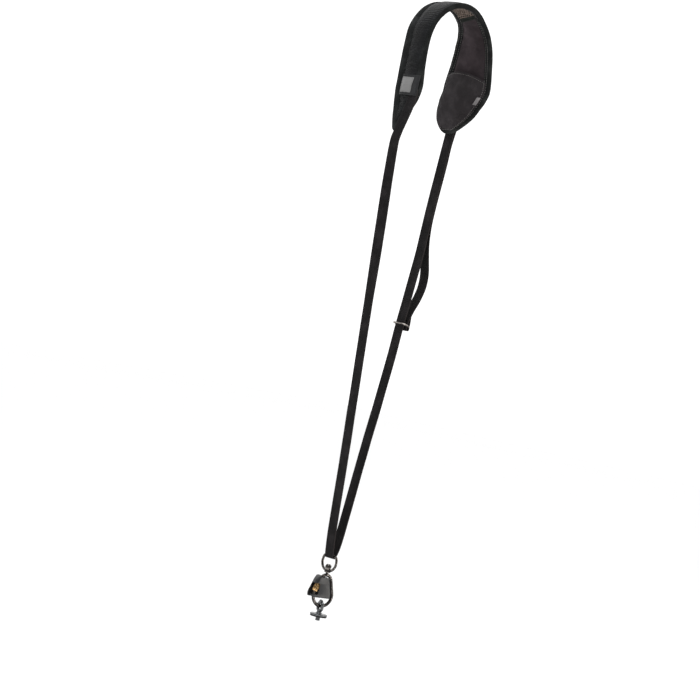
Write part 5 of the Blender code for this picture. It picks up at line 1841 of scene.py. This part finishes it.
class STRAP_OT_stage(bpy.types.Operator):
    """Camera, soft studio lights and a pale floor"""
    bl_idname = "strap.stage"
    bl_label = "Stage"

    def execute(self, context):
        look = context.scene.strap_stage
        scene = context.scene
        sideways = Vector((math.cos(look.azimuth), math.sin(look.azimuth), 0))
        forward = Vector((-sideways.y, sideways.x, 0))
        aim = sideways * look.aim_side + Vector((0, 0, look.aim_height))
        right = sideways * math.cos(look.roll) + Vector((0, 0, math.sin(look.roll)))
        up = Vector((0, 0, math.cos(look.roll))) - sideways * math.sin(look.roll)

        data = bpy.data.cameras.new("camera")
        data.lens = data.sensor_width * look.distance / look.frame_width
        camera = new_object("camera", data)
        camera.matrix_world = self.facing(aim - forward * look.distance, right, up)
        scene.camera = camera

        level = CAD_BOX[0].z - look.floor_drop

        def floor_place(u, v):
            return Vector((FLOOR_HALF * (2 * u - 1), FLOOR_HALF * (2 * v - 1), level))

        floor = grid_piece("floor", 1, 1, floor_place, lambda u, v: (u, v),
                           (Vector((0, 0, 0)), Vector((0, 0, 1))))
        pale, _, shader = base_material("floor", 0.9, specular=0.0)
        shader.inputs["Base Color"].default_value = (0.95, 0.95, 0.95, 1)
        paint(floor, pale)
        lights = [self.light(lamp, getattr(look, lamp.power), aim - forward * lamp.back
                             + sideways * lamp.side + Vector((0, 0, lamp.up)), aim) for lamp in LAMPS]

        world = bpy.data.worlds.new("sky")
        world.use_nodes = True
        tree = world.node_tree
        background = tree.nodes["Background"]
        background.inputs["Color"].default_value = (1, 1, 1, 1)
        tree.links.new(self.sky_strength(tree, forward, look), background.inputs["Strength"])
        scene.world = world
        scene.view_settings.view_transform = "Standard"
        return {"FINISHED"}

    def sky_strength(self, tree, forward, look):
        """Even light, with a dim band low behind the camera that shapes the metal."""
        direction = add_node(tree, "ShaderNodeTexCoord").outputs["Generated"]
        ahead = add_node(tree, "ShaderNodeVectorMath", direction, forward, operation="DOT_PRODUCT")
        height = add_node(tree, "ShaderNodeSeparateXYZ", direction).outputs[2]
        behind = soft_step(tree, ahead.outputs["Value"], low=0.45, high=-0.1)
        band = calc(tree, "MULTIPLY", soft_step(tree, height, low=0.75, high=0.5),
                    soft_step(tree, height, low=0.12, high=0.2))
        return soft_step(tree, calc(tree, "MULTIPLY", behind, band), low=0.0, high=1.0,
                         start=look.sky, end=look.band)

    def facing(self, place, right, up):
        """A matrix that looks along the cross of up and right."""
        matrix = Matrix((right, up, right.cross(up))).transposed().to_4x4()
        matrix.translation = place
        return matrix

    def light(self, lamp, power, place, aim):
        """A rectangle of light that faces the aim."""
        data = bpy.data.lights.new(lamp.name, "AREA")
        data.shape = "RECTANGLE"
        data.energy = power
        data.color = lamp.colour
        data.size = lamp.width
        data.size_y = lamp.height
        item = new_object(lamp.name, data)
        item.location = place
        item.rotation_euler = (aim - place).to_track_quat("-Z", "Y").to_euler()
        return item


OPERATORS = (STRAP_OT_pad_body, STRAP_OT_outer_panel, STRAP_OT_inner_panels, STRAP_OT_pocket,
             STRAP_OT_labels, STRAP_OT_webbing, STRAP_OT_keeper, STRAP_OT_slider, STRAP_OT_ring,
             STRAP_OT_hook, STRAP_OT_cover, STRAP_OT_foot, STRAP_OT_stage)


class STRAP_PT_panel(bpy.types.Panel):
    """The strap's sizes and its pieces, in the sidebar"""
    bl_idname = "STRAP_PT_panel"
    bl_label = "Camera sling strap"
    bl_space_type = "VIEW_3D"
    bl_region_type = "UI"
    bl_category = "Strap"

    def draw(self, context):
        for name in GROUPS:
            box = self.layout.box()
            group = getattr(context.scene, name)
            for key in group.__annotations__:
                box.prop(group, key)
        for operator in OPERATORS:
            self.layout.operator(operator.bl_idname)


GROUPS = {"strap_pad": PadLook, "strap_webbing": WebbingLook, "strap_fittings": FittingLook,
          "strap_stage": StageLook}
CLASSES = (*GROUPS.values(), *OPERATORS, STRAP_PT_panel)


def register():
    for item in CLASSES:
        bpy.utils.register_class(item)
    for name, group in GROUPS.items():
        setattr(bpy.types.Scene, name, PointerProperty(type=group))


def unregister():
    for name in GROUPS:
        delattr(bpy.types.Scene, name)
    for item in reversed(CLASSES):
        bpy.utils.unregister_class(item)


def main():
    register()
    for operator in OPERATORS:
        family, name = operator.bl_idname.split(".")
        getattr(getattr(bpy.ops, family), name)()


if __name__ == "__main__":
    main()
